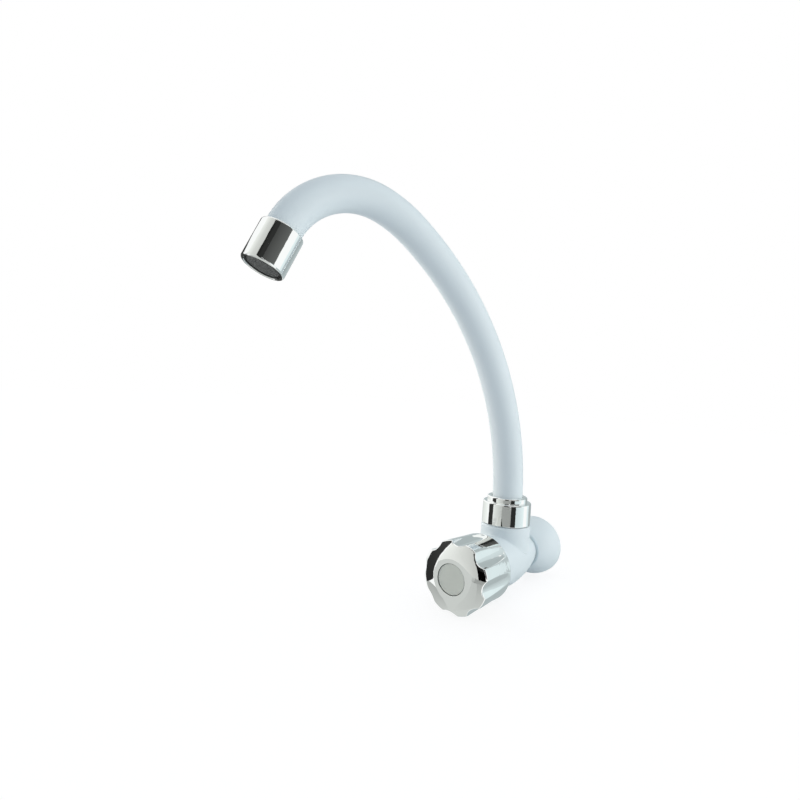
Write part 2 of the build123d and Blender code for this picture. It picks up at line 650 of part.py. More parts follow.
def knob_core():
    """Inner boss with the toothed bore, ribs and a plate under the shell's front."""
    outer = knob_valley - KNOB_WALL - COVER_FIT
    boss_radius = spline_radius + CORE_BOSS_WALL
    core = ring(valve_axis, core_start, core_end, 0, boss_radius)
    core += ring(valve_axis, core_end - CORE_PLATE, core_end, 0, outer - CORE_PLATE_STEP)
    rib = Pos(outer / 2, 0) * Rectangle(outer, CORE_RIB)
    for k in range(CORE_RIBS):
        arm = Rot(0, 0, k * 360 / CORE_RIBS) * rib
        core += prism(valve_axis, core_start + CORE_RIB_SETBACK, core_end - CORE_PLATE, arm)
    core &= ring(valve_axis, core_start, core_end, 0, outer)
    socket_end = spline_end + END_GAP
    core -= prism(valve_axis, core_start, socket_end, spline_outline(spline_radius + 2 * FIT))
    return core - ring(valve_axis, core_start, core_end, 0, KNOB_SCREW_RADIUS + COVER_FIT)


def knob_screw():
    """Screw that pulls the knob onto the spindle, under the cap."""
    head_end = knob_ceiling + KNOB_SCREW_HEAD
    screw = turned(
        valve_axis,
        (knob_ceiling - KNOB_SCREW_LENGTH, 0),
        (knob_ceiling - KNOB_SCREW_LENGTH, KNOB_SCREW_RADIUS, KNOB_SCREW_RADIUS / 4),
        (knob_ceiling, KNOB_SCREW_RADIUS),
        (knob_ceiling, KNOB_SCREW_HEAD_RADIUS),
        (head_end, KNOB_SCREW_HEAD_RADIUS, KNOB_SCREW_HEAD / 2),
        (head_end, 0),
    )
    for turn in (0, 90):
        slot = Rot(0, 0, turn) * Rectangle(KNOB_SCREW_CROSS, SCREW_SLOT)
        screw -= prism(valve_axis, head_end - KNOB_SCREW_HEAD / 2, head_end, slot)
    return screw


def knob_cap():
    """Snap-in cover disc in the middle of the knob's front."""
    disc = turned(
        valve_axis,
        (cap_seat + SEAT_GAP, 0),
        (cap_seat + SEAT_GAP, CAP_RADIUS),
        (cap_face, CAP_RADIUS, CAP_GAP),
        (cap_face, 0),
    )
    skirt_end = cap_seat + CAP_THICKNESS / 2
    skirt_bore = cap_skirt - CAP_SKIRT_WALL
    return disc + ring(valve_axis, cap_seat - CAP_SKIRT_DEPTH, skirt_end, skirt_bore, cap_skirt)


def swivel_nut():
    """Plated nut that screws onto the stub and holds the spout down, with a stepped top."""
    return turned(
        swivel_axis,
        (nut_bottom, nut_thread + FIT),
        (nut_bottom, nut_radius + SWIVEL_NUT_FOOT, SWIVEL_LIP_ROUND),
        (nut_shoulder, nut_radius, SWIVEL_NUT_ROUND),
        (nut_shoulder, nut_ring_radius),
        (nut_top, nut_ring_radius, SWIVEL_NUT_ROUND),
        (nut_top, SPOUT_RADIUS + LIP_CLEARANCE, SWIVEL_LIP_ROUND),
        (lip_underside, SPOUT_RADIUS + LIP_CLEARANCE),
        (lip_underside, nut_cavity),
        (tube_bottom, nut_cavity),
        (tube_bottom, nut_thread + FIT),
    )


def bearing_washer():
    """Slippery washer on top of the stub that the spout turns on."""
    return ring(swivel_axis, bearing_bottom, bearing_top, socket_radius + FIT, nut_thread - FIT)


def retaining_ring():
    """Split ring in the tube's groove, trapped under the nut's lip."""
    radii = retaining_inner + FIT, retaining_outer
    return split_ring(swivel_axis, retaining_bottom, retaining_top, *radii, RETAINING_RING_GAP)


def spout_path():
    """Middle line of the spout in its own plane: a riser and three tangent arcs, reach along +X."""
    point = Vector(0, 0, tube_bottom + RISE)
    edges = [Line((0, 0, tube_bottom), point)]
    heading = 0.0
    arcs = ((SWEEP_RADIUS, SWEEP_TURN), (SHOULDER_RADIUS, SHOULDER_TURN), (CROWN_RADIUS, CROWN_TURN))
    for radius, turn in arcs:
        centre = point + radius * Vector(math.cos(heading), 0, -math.sin(heading))
        halfway = heading + math.radians(turn) / 2
        heading += math.radians(turn)
        middle = centre - radius * Vector(math.cos(halfway), 0, -math.sin(halfway))
        end = centre - radius * Vector(math.cos(heading), 0, -math.sin(heading))
        edges.append(ThreePointArc(point, middle, end))
        point = end
    return edges, point, Vector(math.sin(heading), 0, math.cos(heading))


spout_edges, outlet_point, outlet_direction = spout_path()
# The path's reach along +X is turned to -Y and on to the rest angle.
spout_place = Pos(0, -SWIVEL_OUT, 0) * Rot(0, 0, -90 - SPOUT_REST_ANGLE)
outlet_plane = Plane(origin=outlet_point, x_dir=(0, 1, 0), z_dir=outlet_direction)
outlet_axis = Plane(spout_place * outlet_plane.location)


def spout_tube():
    """Swan-neck tube with a groove for the retaining ring and a glue socket at each end."""
    section = Plane.XY.offset(tube_bottom) * (Circle(SPOUT_RADIUS) - Circle(tube_bore))
    tube = spout_place * sweep(section, path=Wire(spout_edges))
    tube -= ring(swivel_axis, tube_bottom, tube_bottom + SPIGOT_GLUE_LENGTH, 0, tube_socket)
    tube -= ring(outlet_axis, -NIPPLE_GLUE_LENGTH - SEAT_GAP, 0, 0, tube_socket)
    groove_start = retaining_bottom - SEAT_GAP
    groove_end = retaining_top + SEAT_GAP
    return tube - ring(swivel_axis, groove_start, groove_end, retaining_inner, SPOUT_RADIUS + FIT)


def spout_spigot():
    """Insert glued into the tube's foot, which turns in the body's socket."""
    outer = socket_radius - SPIGOT_CLEARANCE
    bore = insert_radius - SPIGOT_WALL
    shoulder = tube_bottom - SEAT_GAP
    glue_end = shoulder + SPIGOT_GLUE_LENGTH
    spigot = turned(
        swivel_axis,
        (spigot_bottom, bore),
        (spigot_bottom, outer, SPIGOT_RING_SECTION),
        (shoulder, outer),
        (shoulder, insert_radius),
        (glue_end, insert_radius),
        (glue_end, bore),
    )
    half = SPIGOT_RING_SECTION + FIT
    groove = socket_radius - 2 * half
    for height in spigot_ring_stations:
        spigot -= ring(swivel_axis, height - half, height + half, groove, socket_radius)
    return spigot


def spigot_rings():
    """Two round rubber rings that seal the turning spigot."""
    middle = socket_radius - SPIGOT_RING_SECTION - FIT
    return [sealing_ring(swivel_axis, at, middle, SPIGOT_RING_SECTION) for at in spigot_ring_stations]


def outlet_nipple():
    """Threaded insert in the tube's outlet that carries the aerator."""
    thread = aerator_thread - FIT
    bore = insert_radius - NIPPLE_WALL
    return turned(
        outlet_axis,
        (-NIPPLE_GLUE_LENGTH, bore),
        (-NIPPLE_GLUE_LENGTH, insert_radius),
        (nipple_flange_start, insert_radius),
        (nipple_flange_start, thread),
        (nipple_end, thread, THREAD_CHAMFER / 2),
        (nipple_end, bore),
    )


def aerator_housing():
    """Plated sleeve with a rounded top and an inner lip at its mouth."""
    return turned(
        outlet_axis,
        (nipple_flange_start, aerator_thread),
        (nipple_flange_start, aerator_radius, AERATOR_SHOULDER_ROUND),
        (AERATOR_LENGTH, aerator_radius, AERATOR_MOUTH_ROUND),
        (AERATOR_LENGTH, aerator_lip_radius + AERATOR_LIP_CHAMFER),
        (AERATOR_LENGTH - AERATOR_LIP_CHAMFER, aerator_lip_radius),
        (aerator_lip_start, aerator_lip_radius),
        (aerator_lip_start, aerator_thread),
    )


def aerator_washer():
    """Flat rubber washer between the outlet nipple and the cartridge."""
    end = aerator_washer_start + AERATOR_WASHER_THICKNESS
    bore = cartridge_radius - AERATOR_WASHER_WIDTH
    return ring(outlet_axis, aerator_washer_start, end, bore, cartridge_radius)


def aerator_cartridge():
    """Dark cup that holds the screens, with a nose in the housing's mouth."""
    ledge = cartridge_shoulder - CARTRIDGE_STEP
    return turned(
        outlet_axis,
        (cartridge_start, cartridge_bore),
        (cartridge_start, cartridge_radius),
        (cartridge_shoulder, cartridge_radius),
        (cartridge_shoulder, cartridge_nose),
        (cartridge_end, cartridge_nose),
        (cartridge_end, cartridge_nose_bore),
        (ledge, cartridge_nose_bore),
        (ledge, cartridge_bore - CARTRIDGE_STEP),
        (ledge - CARTRIDGE_STEP, cartridge_bore - CARTRIDGE_STEP),
        (ledge - CARTRIDGE_STEP, cartridge_bore),
    )


def screen(radius):
    """Flat net: a disc with square gaps on a grid, kept clear of its rim."""
    gap = SCREEN_PITCH - SCREEN_WIRE
    count = math.ceil(radius / SCREEN_PITCH)
    gaps = [
        Pos(i * SCREEN_PITCH, j * SCREEN_PITCH) * Rectangle(gap, gap)
        for i in range(-count, count + 1)
        for j in range(-count, count + 1)
        if SCREEN_PITCH * math.hypot(i, j) + gap < radius
    ]
    return Circle(radius) - gaps


def inlet_screen():
    """Strainer at the top of the cartridge."""
    end = inlet_screen_start + INLET_SCREEN_THICKNESS
    return prism(outlet_axis, inlet_screen_start, end, screen(cartridge_bore - FIT))


def flow_straightener():
    """Perforated disc that divides the water into jets."""
    plate = Circle(cartridge_bore - FIT)
    for row in range(1, STRAIGHTENER_RINGS + 1):
        radius = row * (cartridge_bore - STRAIGHTENER_GAP) / STRAIGHTENER_RINGS
        plate -= PolarLocations(radius, 6 * row) * Circle(STRAIGHTENER_HOLE_RADIUS)
    return prism(outlet_axis, straightener_start, straightener_start + STRAIGHTENER_THICKNESS, plate)


def outlet_screen():
    """Outlet net across the cartridge's nose."""
    net = screen(cartridge_nose_bore - FIT)
    return prism(outlet_axis, outlet_screen_end - SCREEN_THICKNESS, outlet_screen_end, net)


SUB_PARTS = [
    tap_body,
    wall_flange,
    wall_seal,
    valve_seat,
    seat_washer,
    washer_screw,
    jumper,
    headwork,
    headwork_seal,
    thrust_washer,
    spindle,
    spindle_rings,
    circlip,
    knob_shell,
    knob_core,
    knob_screw,
    knob_cap,
    swivel_nut,
    bearing_washer,
    retaining_ring,
    spout_tube,
    spout_spigot,
    spigot_rings,
    outlet_nipple,
    aerator_housing,
    aerator_washer,
    aerator_cartridge,
    inlet_screen,
    flow_straightener,
    outlet_screen,
]

for sub_part in SUB_PARTS:
    made = sub_part()
    solids = made if isinstance(made, list) else made.solids()
    export_step(Compound(children=list(solids)), f"parts/{sub_part.__name__}.step")
    print(sub_part.__name__, len(solids), "solid(s)", round(sum(s.volume for s in solids)), "mm3")
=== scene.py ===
"""Wall-mounted kitchen tap: the looks of its outer pieces, the finishes of its inner ones, and the stage.

Frame: metres, +Z up, the wall is the plane y = 0 and the tap stands out from it along -Y. "Along" and
"radius" in the outlines below are millimetres along and away from a piece's own middle line.
"""

import json

import bmesh
import bpy
import numpy as np
from bpy.props import FloatProperty, FloatVectorProperty, IntProperty, PointerProperty
from mathutils import Matrix, Vector

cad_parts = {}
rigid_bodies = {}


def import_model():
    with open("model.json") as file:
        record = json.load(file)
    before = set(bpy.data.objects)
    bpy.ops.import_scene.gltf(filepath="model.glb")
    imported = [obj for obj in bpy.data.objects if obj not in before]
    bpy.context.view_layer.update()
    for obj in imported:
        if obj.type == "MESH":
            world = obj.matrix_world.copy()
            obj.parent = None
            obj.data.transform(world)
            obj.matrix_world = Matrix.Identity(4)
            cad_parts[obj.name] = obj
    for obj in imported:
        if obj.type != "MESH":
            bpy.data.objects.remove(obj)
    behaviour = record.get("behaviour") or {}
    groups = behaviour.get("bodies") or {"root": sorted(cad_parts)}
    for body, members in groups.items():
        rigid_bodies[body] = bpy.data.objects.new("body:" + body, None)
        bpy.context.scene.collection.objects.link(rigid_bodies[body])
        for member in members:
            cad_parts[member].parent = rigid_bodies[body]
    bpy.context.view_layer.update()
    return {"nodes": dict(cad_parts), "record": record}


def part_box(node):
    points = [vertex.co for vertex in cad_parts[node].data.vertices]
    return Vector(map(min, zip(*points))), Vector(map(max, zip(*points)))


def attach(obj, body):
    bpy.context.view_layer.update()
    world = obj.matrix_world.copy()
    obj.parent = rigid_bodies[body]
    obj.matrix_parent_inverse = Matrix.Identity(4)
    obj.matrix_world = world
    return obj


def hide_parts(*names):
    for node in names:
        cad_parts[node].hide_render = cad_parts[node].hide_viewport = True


bl_info = {
    "name": "Kitchen Tap",
    "version": (1, 0, 0),
    "blender": (4, 5, 0),
    "location": "3D View > Sidebar > Tap",
    "description": "Makes the outer pieces, finishes and stage of a wall-mounted kitchen tap",
    "category": "Object",
}

# The start file's own objects go, then the fixed frame is loaded
for leftover in list(bpy.data.objects):
    bpy.data.objects.remove(leftover)

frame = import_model()

MM = 0.001
X, Y, Z = np.eye(3)

nut_low, nut_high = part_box("swivel_nut")
flange_low, flange_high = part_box("wall_flange")
knob_low, knob_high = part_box("knob_shell")

# Fixed sizes in millimetres: middle line of the spout as the height of its foot, its straight rise, and the
# radius and turn in degrees of each arc
NECK_FOOT, NECK_RISE = 36.25, 2.6
NECK_ARCS = ((197.0, 57.0), (81.0, 15.8), (48.25, 81.95))
# Inlet thread: its radii, its pitch and its length behind the wall's face
THREAD_ROOT, THREAD_CREST, THREAD_PITCH, THREAD_LENGTH = 9.28, 10.48, 1.814, 14.0
# End of the hub's swell, and the hub's mouth, ahead of the spout's axis
SWELL_AHEAD, MOUTH_AHEAD = 8.0, 29.0
# Stepped hollows of the body: where they start, then end and radius of each step
VALVE_START, VALVE_STEPS, MOUTH_BORE = -15.0, ((30.0, 7.0), (37.0, 8.2), (60.0, 11.0), (76.8, 12.0)), 15.15
STUB_START, STUB_STEPS = 2.0, ((17.0, 6.0), (36.0, 8.6))
# Gap between pieces that only touch, and the angle in degrees from which an edge is sharp
CLEARANCE, CREASE = 0.05, 32.0


def metres(name, description, default):
    """Length for the panel, in metres and rounded to a hundredth of a millimetre."""
    return FloatProperty(name=name, description=description, default=round(default, 5), unit="LENGTH")


class TapSizes(bpy.types.PropertyGroup):
    """Sizes of the outer pieces. Where a default can be read from the frame, it is."""

    flange_radius: metres(
        "Flange radius", "Widest radius of the domed cover at the wall", (flange_high.x - flange_low.x) / 2
    )
    flange_depth: metres(
        "Flange depth", "How far the domed cover stands out from the wall", flange_high.y - flange_low.y
    )
    swivel_out: metres(
        "Spout axis", "Distance of the spout's upright axis from the wall", -(nut_low.y + nut_high.y) / 2
    )
    hub_radius: metres("Hub radius", "Widest radius of the valve body", 0.018)
    stub_radius: metres("Stub radius", "Radius of the upright stub under the nut", 0.0164)
    nut_radius: metres("Nut radius", "Radius of the swivel nut's side", 0.016)
    nut_bottom: metres("Nut bottom", "Height of the nut's lower edge above the valve axis", nut_low.z)
    nut_top: metres("Nut top", "Height of the nut's upper ring above the valve axis", nut_high.z)
    spout_radius: metres("Spout radius", "Outer radius of the swan neck", 0.010)
    spout_wall: metres("Spout wall", "Wall thickness of the swan neck", 0.0028)
    spout_turn: FloatProperty(
        name="Spout turn", description="How far the spout is turned from straight out, towards -X",
        default=float(np.radians(19.5)), unit="ROTATION",
    )
    knob_rear: metres("Knob rear", "Distance of the knob's rear rim from the wall", -knob_high.y)
    knob_front: metres("Knob front", "Distance of the knob's front face from the wall", -knob_low.y)
    knob_radius: metres("Knob radius", "Radius over the knob's lobes", 0.0225)
    flute_radius: metres("Flute radius", "Radius of the hollows between the lobes, in front", 0.007)
    flute_depth: metres("Flute depth", "Depth of the hollows below the lobes, in front", 0.00245)
    flute_rear_radius: metres("Flute rear radius", "Radius of the hollows at their rear ends", 0.018)
    flute_rear_depth: metres("Flute rear depth", "Depth of the hollows at their rear ends", 0.0005)
    lobes: IntProperty(name="Lobes", description="Number of lobes on the knob", default=8, min=3, max=24)
    lobe_angle: FloatProperty(
        name="Lobe angle", description="Direction of one lobe, from +X towards +Z",
        default=float(np.radians(18.5)), unit="ROTATION",
    )
    cap_radius: metres("Cap radius", "Radius of the cover cap in the knob", 0.0092)
    aerator_radius: metres("Aerator radius", "Outer radius of the aerator", 0.01195)
    aerator_length: metres("Aerator length", "Length of the aerator's sleeve", 0.0229)
    net_pitch: metres("Net pitch", "Distance between the wires of the outlet net", 0.00078)


class TapFinish(bpy.types.PropertyGroup):
    """Colours and gloss of the outer finishes."""

    plastic: FloatVectorProperty(
        name="White plastic", description="Colour of the moulded plastic",
        default=(0.66, 0.755, 0.80), subtype="COLOR",
    )
    plastic_roughness: FloatProperty(
        name="Plastic roughness", description="Roughness of the moulded plastic", default=0.42, min=0, max=1
    )
    chrome: FloatVectorProperty(
        name="Chrome", description="Tint of the plated pieces",
        default=(0.945, 0.965, 0.955), subtype="COLOR",
    )
    chrome_roughness: FloatProperty(
        name="Chrome roughness", description="Roughness of the plating", default=0.035, min=0, max=1
    )
    cap: FloatVectorProperty(
        name="Cap", description="Colour of the knob's cover cap",
        default=(0.57, 0.61, 0.56), subtype="COLOR",
    )


class TapStudio(bpy.types.PropertyGroup):
    """Camera and light of the stage."""

    focal_length: FloatProperty(
        name="Focal length", description="Focal length of the camera, in millimetres", default=24.75
    )
    ambient: FloatProperty(
        name="Ambient", description="Strength of the light from all around", default=0.69, min=0
    )
    right_lamp: FloatProperty(
        name="Right lamp", description="Power of the lamp on the right", default=4.9, min=0, unit="POWER"
    )
    left_lamp: FloatProperty(
        name="Left lamp", description="Power of the lamp on the left", default=4.4, min=0, unit="POWER"
    )
    floor_drop: metres("Floor", "Distance of the floor below the valve axis", 0.0232)


# Shapes


def swing(first, last, turn, count):
    """Turns the direction a into b over the angle T: (sin((1-w)T) a + sin(wT) b) / sin T, w from 0 to 1."""
    share = np.linspace(0, 1, count)[:, None, None]
    return (np.sin((1 - share) * turn) * first + np.sin(share * turn) * last) / np.sin(turn)


def profile(*corners, step=2.0, fine=12.0, support=0.15):
    """Closed outline as rows of (along, radius) points, shape (rows, columns, 2).

    A corner is (along, radius) or (along, radius, round), each a number or an array over the columns. At a
    rounded corner the direction from the arc's centre to one tangent point swings to the other. A side is
    A + (B - A) s, with s in even steps and close to the arcs it joins.
    """
    columns = max(np.size(value) for corner in corners for value in corner)
    places = np.empty((len(corners), columns, 2))
    for k, corner in enumerate(corners):
        places[k, :, 0], places[k, :, 1] = corner[0], corner[1]
    rounds = [corner[2] if len(corner) > 2 else 0 for corner in corners]
    to_last = np.roll(places, 1, axis=0) - places
    to_next = np.roll(places, -1, axis=0) - places
    back = to_last / np.linalg.norm(to_last, axis=2, keepdims=True)
    ahead = to_next / np.linalg.norm(to_next, axis=2, keepdims=True)
    half = np.arccos(np.clip((back * ahead).sum(2), -1, 1))[..., None] / 2
    arcs = []
    for k, radius in enumerate(rounds):
        if not radius:
            arcs.append(places[k : k + 1])
            continue
        reach = radius / np.tan(half[k])
        middle = back[k] + ahead[k]
        middle /= np.linalg.norm(middle, axis=1, keepdims=True)
        centre = places[k] + middle * radius / np.sin(half[k])
        first = places[k] + back[k] * reach - centre
        last = places[k] + ahead[k] * reach - centre
        turn = np.pi - 2 * half[k]
        arcs.append(centre + swing(first, last, turn, int(np.ceil(np.degrees(turn.max()) / fine)) + 1))
    rows = []
    for k, arc in enumerate(arcs):
        following = arcs[(k + 1) % len(arcs)]
        start, end = arc[-1:], following[:1]
        length = np.linalg.norm(end - start, axis=2).max()
        shares = np.linspace(0, 1, int(np.ceil(length / step)) + 1)[1:-1]
        if length > 4 * support:
            shares = np.concatenate([[support / length], shares, [1 - support / length]])
        rows += [arc, start + (end - start) * np.sort(shares)[:, None, None]]
    return np.concatenate(rows)


def bow(start, end, height, count):
    """Corners along a circular arc between two (along, radius) points that stands above its chord:
    middle + R (sin a, cos a) in the chord's own directions, a from -A to A."""
    start, end = np.array(start, float), np.array(end, float)
    chord = end - start
    length = np.hypot(*chord)
    ahead = chord / length
    above = np.array([-ahead[1], ahead[0]])
    above *= np.sign(above[1])
    radius = (length**2 / 4 + height**2) / (2 * height)
    reach = np.arcsin(length / 2 / radius)
    angle = np.linspace(-reach, reach, count)[:, None]
    middle = (start + end) / 2 + above * (height - radius)
    return [tuple(point) for point in middle + radius * (np.sin(angle) * ahead + np.cos(angle) * above)]


def line(origin, direction, side):
    """Straight middle line: place(along) = origin + along * direction, with its two cross directions."""
    origin, direction, side = (np.array(value, float) for value in (origin, direction, side))
    up = np.cross(direction, side)

    def place(along):
        return origin + along[..., None] * direction, side, up

    return place


def steps_round(count):
    """Even steps round a full turn."""
    return np.linspace(0, 2 * np.pi, count, endpoint=False)


def swan_neck(sizes):
    """Middle line of the spout in its own upright plane: a straight riser, then arcs that turn forward.

    The heading h grows evenly with the way s along each arc, and the place is the sum of
    (sin h, cos h) ds: from the arc's start, R (cos h0 - cos h, sin h - sin h0).
    """
    lengths = np.array([NECK_RISE] + [radius * np.radians(turn) for radius, turn in NECK_ARCS])
    bends = np.array([0] + [1 / radius for radius, _ in NECK_ARCS])
    stations = np.concatenate([[0], np.cumsum(lengths)])
    headings = np.concatenate([[0], np.cumsum(lengths * bends)])

    def gained(k, way):
        """Reach and height gained on the way along leg k."""
        start, end, bend = headings[k], headings[k] + way * bends[k], np.where(bends[k] > 0, bends[k], 1)
        reach = np.where(bends[k] > 0, (np.cos(start) - np.cos(end)) / bend, 0)
        return reach, np.where(bends[k] > 0, (np.sin(end) - np.sin(start)) / bend, way)

    legs = np.arange(len(lengths))
    reaches, heights = np.pad(np.cumsum(gained(legs, lengths), axis=1), ((0, 0), (1, 0)))
    turn = sizes.spout_turn
    forward = -np.sin(turn) * X - np.cos(turn) * Y
    side = np.cross(Z, forward)
    origin = NECK_FOOT * Z - sizes.swivel_out / MM * Y

    def place(along):
        k = np.clip(np.searchsorted(stations, along, side="right") - 1, 0, legs[-1])
        reach, height = gained(k, along - stations[k])
        reach, height = (reaches[k] + reach)[..., None], (heights[k] + height)[..., None]
        heading = (headings[k] + (along - stations[k]) * bends[k])[..., None]
        return origin + reach * forward + height * Z, side, np.cos(heading) * forward - np.sin(heading) * Z

    return place, stations[-1]


def carried(rows, place, around):
    """Outline carried round a middle line: c(along) + radius (cos t side + sin t up), t in even steps."""
    angle = steps_round(around)
    along = np.broadcast_to(rows[..., 0], (len(rows), around))
    radius = np.broadcast_to(rows[..., 1], (len(rows), around))[..., None]
    centre, side, up = place(along)
    return centre + radius * (np.cos(angle)[:, None] * side + np.sin(angle)[:, None] * up)


def quads(rows, columns, offset, close_rows):
    """Faces of a grid that closes on itself: corner (i, j) is vertex i * columns + j."""
    i = np.arange(rows if close_rows else rows - 1)[:, None]
    j = np.arange(columns)[None, :]
    i_next, j_next = (i + 1) % rows, (j + 1) % columns
    corners = (i * columns + j, i_next * columns + j, i_next * columns + j_next, i * columns + j_next)
    return offset + np.stack(np.broadcast_arrays(*corners), axis=-1).reshape(-1, 4)


def solid(name, grids, close_rows=True):
    """Object from grids in millimetres, with its doubles merged at the poles and its faces outward."""
    points, faces, count = [], [], 0
    for grid in grids:
        points.append(grid.reshape(-1, 3) * MM)
        faces.append(quads(grid.shape[0], grid.shape[1], count, close_rows))
        count += len(points[-1])
    mesh = bpy.data.meshes.new(name)
    mesh.from_pydata(np.concatenate(points), [], np.concatenate(faces))
    work = bmesh.new()
    work.from_mesh(mesh)
    bmesh.ops.remove_doubles(work, verts=work.verts, dist=1e-7)
    loose = [edge for edge in work.edges if not edge.link_faces]
    bmesh.ops.delete(work, geom=loose, context="EDGES")
    bmesh.ops.recalc_face_normals(work, faces=work.faces)
    work.to_mesh(mesh)
    work.free()
    smooth(mesh)
    return add(name, mesh)


def add(name, data):
    """New object of the scene."""
    made = bpy.data.objects.new(name, data)
    bpy.context.scene.collection.objects.link(made)
    return made


def smooth(mesh):
    """Smooth shading, kept sharp where faces meet at more than the crease angle."""
    mesh.shade_smooth()
    mesh.set_sharp_from_angle(angle=float(np.radians(CREASE)))


def combine(target, tool, operation):
    """Joins the tool's solid to the target's, or takes it away, and removes the tool."""
    before = len(target.data.vertices)
    change = target.modifiers.new("combine", "BOOLEAN")
    change.operation, change.object, change.solver = operation, tool, "MANIFOLD"
    evaluated = target.evaluated_get(bpy.context.evaluated_depsgraph_get())
    mesh = bpy.data.meshes.new_from_object(evaluated)
    if len(mesh.vertices) == before:
        raise RuntimeError(f"{tool.name} left {target.name} unchanged")
    target.modifiers.clear()
    target.data, spent = mesh, target.data
    mesh.name = target.name
    smooth(mesh)
    bpy.data.meshes.remove(spent)
    bpy.data.objects.remove(tool)


def settle(context, made, body, slot, *nodes):
    """Gives a finished piece the surface of its slot, its body and the frame nodes it stands for."""
    made.data.materials.clear()
    made.data.materials.append(surface(context, slot))
    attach(made, body)
    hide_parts(*nodes)


def stepped(start, *steps):
    """Outline of a plug that fills a stepped hollow, each step as (end, radius)."""
    corners = [(start, 0)]
    for end, radius in steps:
        corners += [(start, radius), (end, radius)]
        start = end
    return profile(*corners, (start, 0), step=6)


def soft_least(first, second, blend):
    """The smaller of two arrays, rounded where they meet: min - (blend - |difference|)^2 / (4 blend)."""
    near = np.clip(blend - np.abs(first - second), 0, None)
    return np.minimum(first, second) - near**2 / (4 * blend)


# Shapes of single pieces, millimetres


def valve_line():
    """Line out from the wall through the valve, angles from +X towards +Z."""
    return line((0, 0, 0), -Y, X)


def swivel_line(sizes):
    """Upright line of the spout."""
    return line(-sizes.swivel_out / MM * Y, Z, X)


def outlet_line(sizes):
    """Line down from the end of the swan neck."""
    place, length = swan_neck(sizes)
    origin, side, up = place(np.array([length]))
    return line(origin[0], -np.cross(side, up[0]), side)


def thread_relief(along, angle):
    """Screw thread, faded at its ends: r = root + (crest - root) tooth(along / pitch - angle / 2 pi)."""
    phase = (along / THREAD_PITCH - angle / (2 * np.pi)) % 1
    tooth = np.clip(1.6 - np.abs(phase - 0.5) * 4.4, 0, 1)
    fade = np.clip((along + THREAD_LENGTH) / THREAD_PITCH, 0, 1) * np.clip(-along / THREAD_PITCH, 0, 1)
    return THREAD_ROOT + (THREAD_CREST - THREAD_ROOT) * tooth * fade


def hub_solid(sizes):
    """Outside of the valve body about the valve line: thread, relief, neck and the egg-shaped hub.

    Where the hub's swell meets its tail the radius r is evened: r + exp(-(way / reach)^2) (mean of r - r),
    with the way from the end of the swell and the mean over nine points.
    """
    hub, neck, around, margin = sizes.hub_radius / MM, 11.2, 160, 0.02
    relief_end, neck_end, bulge, tail_drop, reach = 2.5, 22.5, 1.1, 0.62, 7
    swell_end, mouth = sizes.swivel_out / MM + SWELL_AHEAD, sizes.swivel_out / MM + MOUTH_AHEAD
    swell = np.array(bow((neck_end, neck), (swell_end, hub), bulge, 40))
    tail = np.linspace((swell_end, hub), (mouth - 0.9, hub - tail_drop), 24)[1:]
    shell = np.concatenate([swell, tail])
    evened = np.convolve(np.pad(shell[:, 1], 4, mode="edge"), np.ones(9) / 9, "valid")
    near = np.exp(-(((shell[:, 0] - swell_end) / reach) ** 2))
    shell[:, 1] += near * (evened - shell[:, 1])
    rows = profile(
        (0, THREAD_ROOT), (relief_end, THREAD_ROOT), (relief_end, neck, 0.25),
        *[tuple(point) for point in shell], (mouth, hub - 0.65, 0.5), (mouth, 0),
        (-THREAD_LENGTH, 0), (-THREAD_LENGTH, THREAD_ROOT), step=2.5,
    )
    along = np.linspace(margin - THREAD_LENGTH, -margin, 112)[:, None] * np.ones(around)
    thread = np.stack([along, thread_relief(along, steps_round(around))], axis=2)
    rows = np.broadcast_to(rows, (len(rows), around, 2))
    return solid("valve_body", [carried(np.concatenate([rows, thread]), valve_line(), around)])


def stub_solid(sizes):
    """Upright stub with a small hollow rounding where it stands on the hub.

    The rounding is a ball's path: its centre lies the ball's radius outside the stub and the hub, and the
    surface turns from the direction to the stub to the direction to the hub's middle line.
    """
    ball, sunk, around = 0.9, 0.03, 160
    shoulder, spigot, top, tail_slope, swell_bend = 23.7, 13.4, 35.0, 0.031, 0.0045
    hub, stub = sizes.hub_radius / MM, sizes.stub_radius / MM
    angle = steps_round(around)
    out = np.stack([np.cos(angle), np.sin(angle)], axis=1)
    centre = out * (stub + ball)
    ahead = -centre[:, 1] - SWELL_AHEAD
    swell = hub - tail_slope * np.clip(ahead, 0, None) - swell_bend * np.clip(-ahead, 0, None) ** 2
    height = np.sqrt((swell + ball - sunk) ** 2 - centre[:, 0] ** 2)
    centre = np.column_stack([centre, height])
    to_stub = np.column_stack([-out, np.zeros(around)])
    to_hub = -np.column_stack([centre[:, 0], np.zeros(around), centre[:, 2]])
    to_hub /= np.linalg.norm(to_hub, axis=1, keepdims=True)
    turn = np.arccos((to_stub * to_hub).sum(1, keepdims=True))
    skirt = centre + ball * swing(to_stub, to_hub, turn, 8)
    foot = np.stack([np.column_stack([out * radius, np.zeros(around)]) for radius in (stub - 2.5, 0)])
    rows = profile((0, 0), (shoulder, stub, 0.3), (shoulder, spigot), (top, spigot, 0.4), (top, 0))
    upper = carried(rows, line((0, 0, 0), Z, X), around)
    away, level = np.hypot(upper[:, 0, 0], upper[:, 0, 1]), upper[:, 0, 2]
    upper = upper[(level > shoulder - 0.7) | (away < 1e-6) & (level > 1)]
    rise = shoulder - 0.5 - skirt[0, :, 2:]
    wall = np.linspace(1, 0, 8)[1:-1, None, None] * rise * Z + skirt[0]
    grid = np.concatenate([foot[::-1], skirt[::-1], wall[::-1], upper])
    return solid("stub", [grid - sizes.swivel_out / MM * Y])


